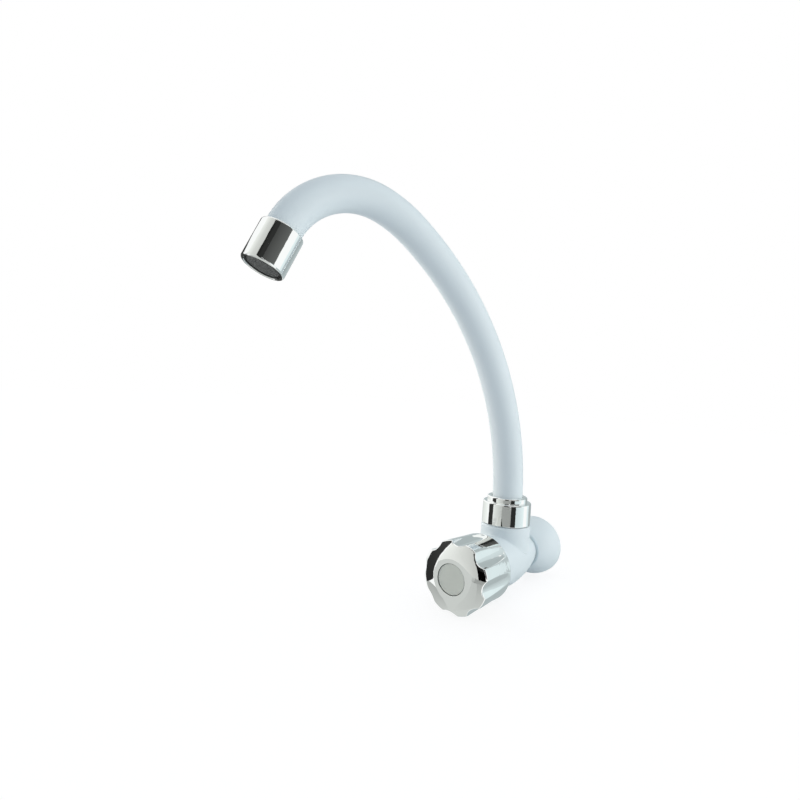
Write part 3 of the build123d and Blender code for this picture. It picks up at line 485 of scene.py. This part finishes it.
def knob_flutes(sizes, along, angle, rear_radius):
    """Radius of the flutes: c cos d - sqrt(F^2 - c^2 sin^2 d), where d is the angle from the nearest
    flute's middle, c the distance of its centre, and F its radius. F and the floor of the flute, c - F,
    change evenly along the knob, and at the rear the floor rises with the square of the distance."""
    start, fade, rise = sizes.knob_rear / MM + 1.0, 3.5, 0.6
    share = (along - start) / (sizes.knob_front / MM - start)
    flute = (sizes.flute_rear_radius + (sizes.flute_radius - sizes.flute_rear_radius) * share) / MM
    rear_floor = rear_radius - sizes.flute_rear_depth / MM
    floor = rear_floor + ((sizes.knob_radius - sizes.flute_depth) / MM - rear_floor) * share
    floor = floor + rise * np.clip((start + fade - along) / fade, 0, None) ** 2
    pitch = 2 * np.pi / sizes.lobes
    away = (angle - sizes.lobe_angle) % pitch - pitch / 2
    under = flute**2 - ((floor + flute) * np.sin(away)) ** 2
    reach = (floor + flute) * np.cos(away) - np.sqrt(np.clip(under, 0, None))
    return np.where(under > 0, reach, sizes.knob_radius / MM + 10)


def knob_face(lobe, ring, front):
    """Section of the knob's crowned face as (along, radius) points from the ring outwards: its slope grows
    with the radius from flat at the ring, and the drop is the sum of tan(slope) dr."""
    places, slopes = (ring - 1.8, ring - 0.9, ring + 0.2, lobe), (0, 5.5, 9, 36)
    radius = np.linspace(places[0], lobe, 61)
    slope = np.radians(np.interp(radius, places, slopes))
    tilt = np.tan((slope[1:] + slope[:-1]) / 2)
    drop = np.concatenate([[0], np.cumsum(tilt * np.diff(radius))])
    return front - drop, radius


def knob_solid(sizes):
    """Lobed knob about the valve line: at every angle an outline whose side and crowned face follow
    the smaller of the plain cone and the flutes."""
    around = 72 * sizes.lobes
    angle = steps_round(around)
    rear, front, lobe = sizes.knob_rear / MM, sizes.knob_front / MM, sizes.knob_radius / MM
    rear_radius, rear_round, ring, wall = lobe - 1.3, 0.95, lobe - 9.5, 1.8
    recess, seat, back = sizes.cap_radius / MM + 0.25, front - 2.3, front - 5.8
    face_along, face_radius = knob_face(lobe, ring, front)
    edge, valley = face_along[-1], lobe - sizes.flute_depth / MM
    straight_from = edge - 2.0

    def side(along):
        plain = rear_radius + (lobe - rear_radius) * (along - rear) / (edge - rear)
        return soft_least(plain, knob_flutes(sizes, along, angle, rear_radius), 0.35)

    edge_radius = side(np.full(around, edge))
    face = []
    for share in np.linspace(0, 1, 26):
        radius = edge_radius + (face_radius[0] - edge_radius) * share
        face.append((np.interp(radius, face_radius, face_along), radius))
    rows = profile(
        (rear, rear_radius, rear_round), (straight_from, side(np.full(around, straight_from))),
        (*face[0], 1.3), *face[3:], (front, recess, 0.2), (seat, recess, 0.2), (seat, recess - 2.1),
        (back, recess - 2.1), (back, valley - wall, 1.0), (rear + 1.0, valley - wall),
        (rear, rear_radius - wall), step=1.0, fine=9.0,
    )
    outer = (rows[..., 0] > rear + rear_round - 0.01) & (rows[..., 0] < straight_from - 0.01)
    outer &= rows[..., 1] > valley - 0.5
    rows[..., 1] = np.where(outer, side(rows[..., 0]), rows[..., 1])
    return solid("lobed_knob", [carried(rows, valve_line(), around)])


def net_grids(sizes, place, middle, radius):
    """Woven net across a round mouth: each wire runs straight across and waves up and down as it passes
    over and under the others: height = a cos(pi s / pitch), turned over from wire to wire."""
    pitch, wire = sizes.net_pitch / MM, 0.125
    count = int(radius / pitch)
    offset = np.arange(-count, count + 1) * pitch
    half = np.sqrt(radius**2 - offset**2)
    rows, sides = 8 * count, 6
    share = np.linspace(-1, 1, rows)
    turn = steps_round(sides)
    way = half[:, None] * share
    sign = np.where(np.arange(len(offset)) % 2, 1, -1)[:, None]
    thin = np.where(np.abs(share) == 1, 0.0, wire)
    centre, side, up = place(np.array([middle]))
    axis = np.cross(side, up)
    grids = []
    for first, second, flip in ((side, up, 1), (up, side, -1)):
        wave = flip * sign * wire * np.cos(np.pi * way / pitch)
        run = offset[:, None, None] * first + way[..., None] * second + wave[..., None] * axis
        around = np.cos(turn)[:, None] * first + np.sin(turn)[:, None] * axis
        tube = centre + run[:, :, None] + thin[:, None, None] * around
        grids += list(tube)
    return grids


# Finishes

# Part of the noise that colour and gloss follow, and the kinds of relief: node, its result, its settings
NOISE_LOW, NOISE_HIGH = 0.3, 0.7
PATTERNS = {
    "noise": ("ShaderNodeTexNoise", "Fac", {"Detail": 3.0}),
    "pebble": ("ShaderNodeTexVoronoi", "Distance", {}),
    "turned": ("ShaderNodeTexWave", "Fac", {"Distortion": 0.6, "Detail": 1.0, "bands_direction": "Y"}),
}


def node(tree, kind, *terms, **values):
    """New node. Its inputs are filled in by place or name with a value or another node's output, and what
    isn't the name of an input is one of its settings."""
    made = tree.nodes.new(kind)
    filled = list(zip(made.inputs, terms))
    for key, value in values.items():
        name = key.replace("_", " ")
        if name in made.inputs:
            filled.append((made.inputs[name], value))
        else:
            setattr(made, key, value)
    for place, value in filled:
        if isinstance(value, bpy.types.NodeSocket):
            tree.links.new(value, place)
        else:
            place.default_value = value
    return made


def fresh_tree(owner):
    """Node tree of a material or world, emptied."""
    owner.use_nodes = True
    owner.node_tree.nodes.clear()
    return owner.node_tree


def finish(
    name, colour, roughness, waver, waver_size, grain, grain_size,
    metallic=0.0, ior=1.5, rough_waver=0.05, stretch=(1, 1, 1), pattern="noise",
):
    """Procedural finish on the piece's own coordinates: the colour and gloss waver with soft noise, and
    a grain or turned lines give a fine relief."""
    material = bpy.data.materials.new(name)
    tree = fresh_tree(material)
    place = node(tree, "ShaderNodeTexCoord").outputs["Object"]
    drawn = node(tree, "ShaderNodeMapping", Vector=place, Scale=stretch).outputs["Vector"]
    cloud = node(tree, "ShaderNodeTexNoise", Vector=place, Scale=1 / waver_size, Detail=4.0, Roughness=0.55)
    ramp = node(tree, "ShaderNodeValToRGB", Fac=cloud.outputs["Fac"])
    low, high = ramp.color_ramp.elements
    low.position, high.position = NOISE_LOW, NOISE_HIGH
    low.color = [channel * (1 - waver) for channel in colour] + [1]
    high.color = [min(channel * (1 + waver), 1) for channel in colour] + [1]
    speck = node(tree, "ShaderNodeTexNoise", Vector=drawn, Scale=3 / waver_size, Detail=6.0, Roughness=0.6)
    gloss = node(
        tree, "ShaderNodeMapRange", Value=speck.outputs["Fac"], From_Min=NOISE_LOW, From_Max=NOISE_HIGH,
        To_Min=max(roughness - rough_waver, 0), To_Max=min(roughness + rough_waver, 1),
    )
    kind, result, values = PATTERNS[pattern]
    relief = node(tree, kind, Vector=drawn, Scale=1 / grain_size, **values).outputs[result]
    bump = node(tree, "ShaderNodeBump", Height=relief, Strength=grain, Distance=grain_size)
    shader = node(
        tree, "ShaderNodeBsdfPrincipled", Base_Color=ramp.outputs["Color"], Normal=bump.outputs["Normal"],
        Roughness=gloss.outputs["Result"], Metallic=metallic, IOR=ior,
    )
    node(tree, "ShaderNodeOutputMaterial", Surface=shader.outputs["BSDF"])
    return material


def surface(context, slot):
    """The finish of a record's slot, made the first time it is asked for."""
    look = context.scene.tap_finish
    white, plated = (look.plastic, look.plastic_roughness), (look.chrome, look.chrome_roughness)
    moulded, metal, drawn = {"rough_waver": 0.03, "ior": 1.49}, {"metallic": 1.0}, {"stretch": (1, 0.1, 1)}
    turned, pebble = {"pattern": "turned"}, {"pattern": "pebble"}
    # name, colour, roughness, waver and its size (m), grain and its size (m), and what is special
    finishes = {
        "white_plastic": ("moulded_white", *white, 0.012, 0.03, 0.08, 0.0006, moulded),
        "chrome": ("bright_plating", *plated, 0.015, 0.012, 0.012, 0.006, metal | {"rough_waver": 0.012}),
        "cap_plastic": ("matt_cap", look.cap, 0.5, 0.02, 0.004, 0.12, 0.00035, pebble),
        "brass": ("turned_brass", (0.62, 0.42, 0.16), 0.26, 0.08, 0.008, 0.1, 0.0006, metal | turned),
        "rubber": ("black_rubber", (0.022, 0.022, 0.023), 0.62, 0.25, 0.004, 0.2, 0.0004, {}),
        "steel": ("drawn_steel", (0.56, 0.57, 0.58), 0.3, 0.05, 0.006, 0.12, 0.0005, metal | drawn),
        "nylon": ("natural_nylon", (0.74, 0.72, 0.64), 0.45, 0.03, 0.006, 0.1, 0.0005, {}),
        "dark_plastic": ("dark_moulding", (0.018, 0.019, 0.020), 0.42, 0.2, 0.004, 0.12, 0.0004, pebble),
        "mesh": ("net_wire", (0.30, 0.31, 0.31), 0.42, 0.2, 0.002, 0.15, 0.0002, metal),
    }
    if slot not in finishes:
        raise RuntimeError(f"the record's slot {slot} has no finish here")
    *values, special = finishes[slot]
    return bpy.data.materials.get(values[0]) or finish(*values, **special)


# Operators


class TAP_OT_body(bpy.types.Operator):
    """Make the valve body with its thread, hub and stub"""

    bl_idname = "tap.make_body"
    bl_label = "Valve body"

    def execute(self, context):
        sizes = context.scene.tap_sizes
        made = hub_solid(sizes)
        combine(made, stub_solid(sizes), "UNION")
        mouth = sizes.swivel_out / MM + MOUTH_AHEAD
        bores = stepped(VALVE_START, *VALVE_STEPS, (mouth + 1, MOUTH_BORE))
        combine(made, solid("bores", [carried(bores, valve_line(), 96)]), "DIFFERENCE")
        socket = stepped(STUB_START, *STUB_STEPS)
        combine(made, solid("socket", [carried(socket, swivel_line(sizes), 96)]), "DIFFERENCE")
        settle(context, made, "root", "white_plastic", "tap_body")
        return {"FINISHED"}


class TAP_OT_flange(bpy.types.Operator):
    """Make the domed cover at the wall"""

    bl_idname = "tap.make_flange"
    bl_label = "Wall flange"

    def execute(self, context):
        sizes = context.scene.tap_sizes
        outer, depth = sizes.flange_radius / MM, sizes.flange_depth / MM
        bore, wall, rim, bulge = 11.35, 1.8, 4.0, 1.6
        nose = bore + 1.7
        dome = bow((rim, outer), (depth, nose), bulge, 28)
        inside = bow((rim, outer - wall), (depth - 2 * wall, nose), bulge, 16)
        rows = profile(
            (0, outer, 0.8), *dome[:-1], (depth, nose, 0.3), (depth, bore, 0.25), (rim, bore),
            (rim, nose), *inside[::-1], (0, outer - wall, 0.2), step=1.5,
        )
        made = solid("wall_cover", [carried(rows, valve_line(), 160)])
        settle(context, made, "root", "white_plastic", "wall_flange")
        return {"FINISHED"}


class TAP_OT_nut(bpy.types.Operator):
    """Make the plated swivel nut"""

    bl_idname = "tap.make_nut"
    bl_label = "Swivel nut"

    def execute(self, context):
        sizes = context.scene.tap_sizes
        bottom, top = sizes.nut_bottom / MM, sizes.nut_top / MM
        side, lip = sizes.nut_radius / MM, sizes.spout_radius / MM + 0.3
        shoulder, underside = top - 3.5, top - 2.8
        cavity, thread = 11.6, 13.45
        ledge = cavity + 1.7
        rows = profile(
            (bottom, side + 0.2, 0.4), (shoulder, side, 1.0), (shoulder, ledge, 0.15),
            (top, ledge, 1.0), (top, lip, 0.4), (underside, lip), (underside, cavity),
            (NECK_FOOT, cavity), (NECK_FOOT, thread), (bottom, thread, 0.3), step=1.0, fine=8.0,
        )
        made = solid("collar_nut", [carried(rows, swivel_line(sizes), 192)])
        settle(context, made, "root", "chrome", "swivel_nut")
        return {"FINISHED"}


class TAP_OT_spout(bpy.types.Operator):
    """Make the swan neck"""

    bl_idname = "tap.make_spout"
    bl_label = "Swan neck"

    def execute(self, context):
        sizes = context.scene.tap_sizes
        place, length = swan_neck(sizes)
        outer, bore = sizes.spout_radius / MM, (sizes.spout_radius - sizes.spout_wall) / MM
        socket, foot_end, outlet_start = outer - 2.1, 14.0, length - 7.05
        groove, groove_start, groove_end = outer - 1.0, 0.95, 3.05
        rows = profile(
            (0, outer, 0.2), (groove_start, outer), (groove_start, groove), (groove_end, groove),
            (groove_end, outer), (length, outer, 0.2), (length, socket), (outlet_start, socket),
            (outlet_start, bore), (foot_end, bore), (foot_end, socket), (0, socket), step=1.6,
        )
        made = solid("swan_neck", [carried(rows, place, 128)])
        settle(context, made, "spout", "white_plastic", "spout_tube")
        return {"FINISHED"}


class TAP_OT_knob(bpy.types.Operator):
    """Make the lobed knob and its round cover cap"""

    bl_idname = "tap.make_knob"
    bl_label = "Knob and cap"

    def execute(self, context):
        sizes = context.scene.tap_sizes
        settle(context, knob_solid(sizes), "knob", "chrome", "knob_shell")
        face, cap = sizes.knob_front / MM - 0.5, sizes.cap_radius / MM
        lip, floor, end = face - 1.75, face - 2.65, face - 4.4
        rows = profile(
            (lip, cap, 0.15), (face, cap, 0.28), (face + 0.03, 0), (floor, 0), (floor, cap - 2.8),
            (end, cap - 2.8), (end, cap - 1.9, 0.15), (lip, cap - 1.9), step=0.8,
        )
        made = solid("cover_cap", [carried(rows, valve_line(), 160)])
        settle(context, made, "knob", "cap_plastic", "knob_cap")
        return {"FINISHED"}


class TAP_OT_aerator(bpy.types.Operator):
    """Make the aerator: plated sleeve, dark cup and woven net"""

    bl_idname = "tap.make_aerator"
    bl_label = "Aerator"

    def execute(self, context):
        sizes = context.scene.tap_sizes
        place = outlet_line(sizes)
        outer, end = sizes.aerator_radius / MM, sizes.aerator_length / MM
        thread, lip, seat = outer - 1.05, outer - 1.75, end - 1.5
        rows = profile(
            (CLEARANCE, thread), (CLEARANCE, outer, 0.95), (end, outer, 1.2),
            (end, lip + 0.4, 0.12), (end - 0.4, lip, 0.12), (seat, lip), (seat, thread),
            step=1.2, fine=8.0,
        )
        made = solid("aerator_sleeve", [carried(rows, place, 192)])
        settle(context, made, "spout", "chrome", "aerator_housing")
        start, stop, front = 10.35, seat - CLEARANCE, end - 0.65
        ledge, throat, hollow = stop - 1.0, outer - 3.4, outer - 2.4
        rows = profile(
            (start, hollow), (start, thread - CLEARANCE, 0.2), (stop, thread - CLEARANCE, 0.15),
            (stop, lip - CLEARANCE), (front, lip - CLEARANCE, 0.2), (front, lip - 0.75, 0.2),
            (ledge, lip - 0.75), (ledge, throat), (ledge - 1.0, throat), (ledge - 1.0, hollow),
            step=1.2,
        )
        made = solid("aerator_cup", [carried(rows, place, 128)])
        settle(context, made, "spout", "dark_plastic", "aerator_cartridge")
        middle, reach, half, band = end - 1.3, lip - 0.8, 0.24, 0.5
        corners = ((-half, reach - band), (-half, reach), (half, reach), (half, reach - band))
        hoop = profile(*((middle + way, radius, 0.1) for way, radius in corners), step=1, support=0.02)
        rim = solid("rim", [carried(hoop, place, 128)])
        made = solid("outlet_net", net_grids(sizes, place, middle, reach - 0.1), close_rows=False)
        with context.temp_override(active_object=made, selected_editable_objects=[made, rim]):
            bpy.ops.object.join()
        settle(context, made, "spout", "mesh", "outlet_screen")
        return {"FINISHED"}


class TAP_OT_inside(bpy.types.Operator):
    """Give the inner pieces, which keep the frame's shapes, their finishes"""

    bl_idname = "tap.finish_inside"
    bl_label = "Inner pieces"

    def execute(self, context):
        for entry in frame["record"]["subparts"]:
            piece = frame["nodes"][entry["node"]]
            piece.data.materials.clear()
            piece.data.materials.append(surface(context, entry["material_slot"]))
        return {"FINISHED"}


class TAP_OT_stage(bpy.types.Operator):
    """Make the floor, the lamps, the cards around the tap, and the camera"""

    bl_idname = "tap.make_stage"
    bl_label = "Stage"

    def execute(self, context):
        studio = context.scene.tap_studio
        floor = make_floor(studio)
        make_world(studio)
        for card in CARDS:
            make_card(*card)
        make_board(studio)
        for (name, place, size, colour), strength in zip(LAMPS, (studio.right_lamp, studio.left_lamp)):
            lamp(name, place, size, colour, strength, floor)
        make_camera(studio)
        context.scene.view_settings.view_transform = "Standard"
        return {"FINISHED"}


# Stage

# Camera: place (m), heading from +Y towards -X, dip and roll (degrees)
CAMERA_PLACE = (0.172146, -0.388784, 0.113193)
CAMERA_HEADING, CAMERA_DIP, CAMERA_ROLL = 38.59, 1.62, 3.55

# Floor: its tone for all rays but the camera's, its tone for those, and its unshaded brightness to them
FLOOR_TONE, FLOOR_SEEN_TONE, FLOOR_WHITE = 0.98, 0.3, 1.015
AMBIENT_TINT = (0.93, 0.96, 1.0)

# Cards that only the plating mirrors: middles of three pieces and the distance of the cards from them (mm),
# tints, and a tone near black
NUT, OUTLET, KNOB, FAR = (0.0, -49.5, 33.0), (-57.0, -212.0, 178.0), (0.0, -113.0, 0.0), 2500.0
PLAIN, WARM, COOL = (0.985, 1.015, 0.985), (0.985, 1.0, 0.965), (0.885, 1.0, 1.02)
BLACK = 0.028

# name, middle that it is seen from, headings from +Y towards -X along the lower and the upper edge and
# heights above level (degrees), tones at the two lower corners and at the two upper corners, tint
CARDS = (
    ("sky_left", KNOB, (134, 166), (134, 166), (-9, 60), (0.9, 0.69, 0.92, 0.67), WARM),
    ("sky_right", KNOB, (166, 196), (166, 190), (-9, 60), (0.7, 0.55, 0.67, 0.61), WARM),
    ("sky_edge", KNOB, (190, 207), (190, 207), (47, 60), (0.6, 0.56, 0.6, 0.56), WARM),
    ("camera_low", KNOB, (197, 222), (195, 222), (-10.8, 8), (0.001,) * 4, PLAIN),
    ("camera_high", KNOB, (194, 222), (188.5, 206), (8, 46), (0.003, BLACK, 0.01, BLACK), PLAIN),
    ("outlet_dark", OUTLET, (204, 228), (204, 228), (22, 44), (BLACK,) * 4, PLAIN),
    ("outlet_grey", OUTLET, (228, 284), (228, 287), (-4, 40), (0.07, 0.125, 0.06, 0.115), PLAIN),
    ("overhead", NUT, (183, 286), (183, 286), (61, 78), (0.17,) * 4, PLAIN),
    ("patch", NUT, (185.5, 228), (185.5, 228), (-14.8, -9.4), (0.36, 0.33, 0.34, 0.34), PLAIN),
    ("patch_edge", NUT, (183.5, 188), (185.5, 188), (-14.8, -11), (0.03, 0.03, 0.16, 0.16), PLAIN),
    ("patch_fade", NUT, (143, 184.5), (143, 185.5), (-14.8, -9.4), (0.86, 0.3, 0.78, 0.58), PLAIN),
    ("below_patch", KNOB, (192, 222), (192, 222), (-32, -14.3), (0.5, 0.5, 0.41, 0.41), PLAIN),
    ("right_dark", NUT, (228, 252), (228, 252), (-20, -5), (0.024,) * 4, PLAIN),
    ("right_pale", NUT, (252, 296), (252, 296), (-20, -5), (0.72, 0.9, 0.72, 0.94), COOL),
    ("collar_left", NUT, (115, 128), (116, 128), (-20, -8), (0.024,) * 4, PLAIN),
    ("collar_pale", NUT, (32, 104), (32, 104), (-20, -8), (0.64, 0.92, 0.64, 0.96), PLAIN),
    # low_left and low_front: their greys are painted shade, the floor's shadow side and soft shadow as the
    # plating mirrors them
    ("low_left", KNOB, (50, 134), (84, 134), (-60, -26.5), (0.62, 0.6, 0.42, 0.42), PLAIN),
    ("low_front", KNOB, (134, 192), (134, 192), (-60, -14.3), (0.61, 0.56, 0.61, 0.52), PLAIN),
    ("low_right", KNOB, (192, 232), (192, 232), (-60, -31.5), (0.58, 0.58, 0.5, 0.5), PLAIN),
    ("under", KNOB, (50, 232), (50, 232), (-88, -60), (0.62,) * 4, PLAIN),
    ("side_fade", NUT, (318, 333), (318, 333), (-14, 20), (0.92, 0.82, 0.92, 0.82), COOL),
    ("side_end", NUT, (333, 345), (333, 345), (-16, 20), (0.58, 0.42, 0.58, 0.42), COOL),
    ("behind", NUT, (345, 405), (345, 405), (-16, 14), (0.38, 0.6, 0.38, 0.6), COOL),
    ("behind_high", KNOB, (345, 405), (345, 405), (14.5, 60), (0.48,) * 4, COOL),
    ("behind_spot", NUT, (355, 375), (355, 375), (19, 30), (0.02,) * 4, PLAIN),
    ("side_high", KNOB, (288, 345), (288, 334), (20, 36), (0.85, 0.72, 0.82, 0.62), COOL),
    ("side_edge", KNOB, (330, 345), (326, 345), (28, 40), (0.5,) * 4, COOL),
    ("side_top", KNOB, (288, 344.5), (288, 344.5), (36.5, 58), (0.7, 0.6, 0.66, 0.58), COOL),
    ("side_low", KNOB, (287, 338), (287, 338), (-38, -12.6), (0.36, 0.38, 0.78, 0.74), COOL),
    ("behind_low", KNOB, (337, 405), (337, 405), (-38, -14), (0.45, 0.5, 0.52, 0.56), COOL),
    ("lowest", KNOB, (287, 405), (287, 405), (-75, -38.5), (0.5,) * 4, COOL),
)

# Upright board on the left, in the plane x = BOARD_PLACE (mm): y, z and tone of its corners
BOARD_PLACE = -120.0
BOARD = (
    (-207, 250, 0.07), (-207, 212, 0.06), (-244, 208, 0.05), (-244, 142, 0.05), (-211, 138, 0.05),
    (-212, 60, 0.036), (-213, -58, 0.025), (-104, -58, 0.025), (-106, -36, 0.025), (-118, -5, 0.027),
    (-123, 5, 0.029), (-138, 49, 0.036), (-142, 78, 0.04), (-152, 110, 0.05), (-150, 150, 0.06),
    (-118, 185, 0.07), (-118, 250, 0.07),
)

# Grey sheet on the floor in front that only the plating mirrors. Its grey is painted shade: the floor's
# shadow side in front, as mirrored. A fan about a centre: radius and rise above the floor (mm), headings
# (degrees), tone of the painted shade
SHADE_SHEET_CENTRE, SHADE_SHEET_RADIUS, SHADE_SHEET_RISE = (0.0, -110.0), 208.0, 0.2
SHADE_SHEET_HEADINGS, SHADE_SHEET_TONE = (134, 182), 0.61

# Lamps: name, place (m), size (m) and colour, and the point that both are aimed at
LAMPS = (
    ("lamp_right", (0.7, 0.2, 0.17), 0.8, (1.0, 0.95, 0.87)),
    ("lamp_left", (-0.78, -0.3, 0.24), 0.5, (1.0, 0.86, 0.74)),
)
LAMP_AIM = (-0.01, -0.1, 0.09)


def glow(name):
    """Surface that gives light of the tone in its own corner attribute."""
    material = bpy.data.materials.new(name)
    tree = fresh_tree(material)
    tone = node(tree, "ShaderNodeAttribute", attribute_name="tone").outputs["Color"]
    light = node(tree, "ShaderNodeEmission", Color=tone).outputs["Emission"]
    node(tree, "ShaderNodeOutputMaterial", Surface=light)
    return material


def place_card(name, points, faces, tones, tint):
    """Card in the stage that only mirrored rays see, each point's colour its tone times the tint."""
    mesh = bpy.data.meshes.new(name)
    mesh.from_pydata(points * MM, [], faces)
    colours = np.column_stack([np.outer(tones, tint), np.ones(len(points))])
    mesh.color_attributes.new("tone", "FLOAT_COLOR", "POINT").data.foreach_set("color", colours.reshape(-1))
    mesh.materials.append(glow(name))
    card = add(name, mesh)
    card.visible_camera = card.visible_diffuse = card.visible_shadow = False
    card.visible_transmission = card.visible_volume_scatter = False


def make_card(name, centre, lower, upper, heights, tones, tint):
    """Piece of a far sphere seen from a centre: c + R (-sin a cos e, cos a cos e, sin e). The heading a
    goes evenly from one side edge to the other, each side edge leans evenly with the height e, and the
    tone is even between the four corners."""
    wide, high = 32, 24
    share, rise = np.meshgrid(np.linspace(0, 1, wide + 1), np.linspace(0, 1, high + 1), indexing="ij")
    first = lower[0] + (upper[0] - lower[0]) * rise
    last = lower[1] + (upper[1] - lower[1]) * rise
    a = np.radians(first + (last - first) * share)
    e = np.radians(heights[0] + (heights[1] - heights[0]) * rise)
    points = np.stack([-np.sin(a) * np.cos(e), np.cos(a) * np.cos(e), np.sin(e)], axis=-1)
    points = np.array(centre) + FAR * points
    i, j = np.meshgrid(np.arange(wide), np.arange(high), indexing="ij")
    corner, beside = i * (high + 1) + j, (i + 1) * (high + 1) + j
    faces = np.stack([corner, beside, beside + 1, corner + 1], axis=-1).reshape(-1, 4)
    below = tones[0] + (tones[1] - tones[0]) * share
    above = tones[2] + (tones[3] - tones[2]) * share
    tone = (below + (above - below) * rise).reshape(-1)
    place_card(f"card_{name}", points.reshape(-1, 3), faces, tone, tint)


def make_board(studio):
    """The upright board on the left, and the grey sheet on the floor whose grey is painted shade of the
    floor in front.
    """
    corners = np.array([(BOARD_PLACE, y, z) for y, z, _ in BOARD])
    tones = [tone for _, _, tone in BOARD]
    place_card("card_left", corners, [tuple(range(len(corners)))], tones, PLAIN)
    heading = np.radians(np.linspace(*SHADE_SHEET_HEADINGS, 60))
    rim = np.stack([-np.sin(heading), np.cos(heading)], axis=1) * SHADE_SHEET_RADIUS + SHADE_SHEET_CENTRE
    flat = np.concatenate([[SHADE_SHEET_CENTRE], rim])
    points = np.column_stack([flat, np.full(len(flat), SHADE_SHEET_RISE - studio.floor_drop / MM)])
    # the sheet's grey is painted shade: the floor's shadow side in front, as the plating mirrors it
    place_card("card_floor_shade", points, [tuple(range(len(points)))], np.full(len(points), SHADE_SHEET_TONE), PLAIN)


def make_floor(studio):
    """Pale floor that shows white to the camera and keeps the tap's soft shadow."""
    half, drop = 3.0, -studio.floor_drop
    mesh = bpy.data.meshes.new("floor")
    corners = [(x * half, y * half, drop) for x, y in ((-1, -1), (1, -1), (1, 1), (-1, 1))]
    mesh.from_pydata(corners, [], [(0, 1, 2, 3)])
    material = bpy.data.materials.new("floor")
    tree = fresh_tree(material)
    seen = node(tree, "ShaderNodeLightPath").outputs["Is Camera Ray"]
    less = FLOOR_SEEN_TONE - FLOOR_TONE
    more = FLOOR_WHITE - FLOOR_SEEN_TONE * studio.ambient * max(AMBIENT_TINT)
    tone = node(tree, "ShaderNodeMath", seen, less, FLOOR_TONE, operation="MULTIPLY_ADD").outputs["Value"]
    matt = node(tree, "ShaderNodeBsdfDiffuse", Color=tone).outputs["BSDF"]
    lack = node(tree, "ShaderNodeMath", seen, more, operation="MULTIPLY").outputs["Value"]
    white = node(tree, "ShaderNodeEmission", Strength=lack).outputs["Emission"]
    both = node(tree, "ShaderNodeAddShader", matt, white).outputs["Shader"]
    node(tree, "ShaderNodeOutputMaterial", Surface=both)
    mesh.materials.append(material)
    floor = add("floor", mesh)
    floor.visible_glossy = False
    return floor


def make_world(studio):
    """White all around for what is seen and mirrored, plain soft light for the rest."""
    world = bpy.data.worlds.new("studio")
    bpy.context.scene.world = world
    tree = fresh_tree(world)
    white = node(tree, "ShaderNodeBackground", Color=(1, 1, 1, 1)).outputs["Background"]
    soft = node(tree, "ShaderNodeBackground", Color=(*AMBIENT_TINT, 1), Strength=studio.ambient)
    rays = node(tree, "ShaderNodeLightPath").outputs
    bright = rays["Is Camera Ray"]
    for ray in ("Is Glossy Ray", "Is Transmission Ray"):
        bright = node(tree, "ShaderNodeMath", bright, rays[ray], operation="MAXIMUM").outputs["Value"]
    mix = node(tree, "ShaderNodeMixShader", bright, soft.outputs["Background"], white)
    node(tree, "ShaderNodeOutputWorld", Surface=mix.outputs["Shader"])


def lamp(name, place, size, colour, power, unlit):
    """Square soft lamp aimed at the tap, which leaves one object out."""
    data = bpy.data.lights.new(name, "AREA")
    data.size, data.energy, data.color = size, power, colour
    made = add(name, data)
    made.location = place
    made.rotation_euler = (Vector(LAMP_AIM) - Vector(place)).to_track_quat("-Z", "Y").to_euler()
    made.visible_glossy = False
    left_out = bpy.data.collections.new(name)
    left_out.objects.link(unlit)
    made.light_linking.receiver_collection = left_out
    left_out.collection_objects[0].light_linking.link_state = "EXCLUDE"


def make_camera(studio):
    """Camera at the photograph's place: its axes follow from heading, dip and roll."""
    heading, dip, roll = np.radians([CAMERA_HEADING, CAMERA_DIP, CAMERA_ROLL])
    sight = np.array([-np.sin(heading) * np.cos(dip), np.cos(heading) * np.cos(dip), -np.sin(dip)])
    right = np.array([np.cos(heading), np.sin(heading), 0])
    up = np.cross(right, sight)
    across = np.cos(roll) * right + np.sin(roll) * up
    upward = -np.sin(roll) * right + np.cos(roll) * up
    data = bpy.data.cameras.new("camera")
    data.lens, data.sensor_width = studio.focal_length, 36.0
    data.clip_start, data.clip_end = 0.01, 20.0
    axes = Matrix((across, upward, -sight)).transposed().to_4x4()
    axes.translation = CAMERA_PLACE
    made = add("camera", data)
    made.matrix_world = axes
    bpy.context.scene.camera = made


class TAP_PT_panel(bpy.types.Panel):
    """Lists the pieces of the tap and their sizes"""

    bl_label = "Kitchen tap"
    bl_idname = "TAP_PT_panel"
    bl_space_type = "VIEW_3D"
    bl_region_type = "UI"
    bl_category = "Tap"

    def draw(self, context):
        for maker in OPERATORS:
            self.layout.operator(maker.bl_idname)
        for name in GROUPS:
            group, box = getattr(context.scene, name), self.layout.box()
            for key in group.bl_rna.properties.keys():
                if key not in {"rna_type", "name"}:
                    box.prop(group, key)


OPERATORS = (
    TAP_OT_inside, TAP_OT_body, TAP_OT_flange, TAP_OT_nut,
    TAP_OT_spout, TAP_OT_knob, TAP_OT_aerator, TAP_OT_stage,
)
GROUPS = {"tap_sizes": TapSizes, "tap_finish": TapFinish, "tap_studio": TapStudio}
CLASSES = (*GROUPS.values(), *OPERATORS, TAP_PT_panel)


def register():
    """Makes the classes and their values known."""
    for made in CLASSES:
        bpy.utils.register_class(made)
    for key, group in GROUPS.items():
        setattr(bpy.types.Scene, key, PointerProperty(type=group))


def unregister():
    """Takes the classes and their values away."""
    for key in GROUPS:
        delattr(bpy.types.Scene, key)
    for made in reversed(CLASSES):
        bpy.utils.unregister_class(made)


def main():
    """Makes every piece in order."""
    register()
    bpy.ops.tap.finish_inside()
    bpy.ops.tap.make_body()
    bpy.ops.tap.make_flange()
    bpy.ops.tap.make_nut()
    bpy.ops.tap.make_spout()
    bpy.ops.tap.make_knob()
    bpy.ops.tap.make_aerator()
    bpy.ops.tap.make_stage()


if __name__ == "__main__":
    main()
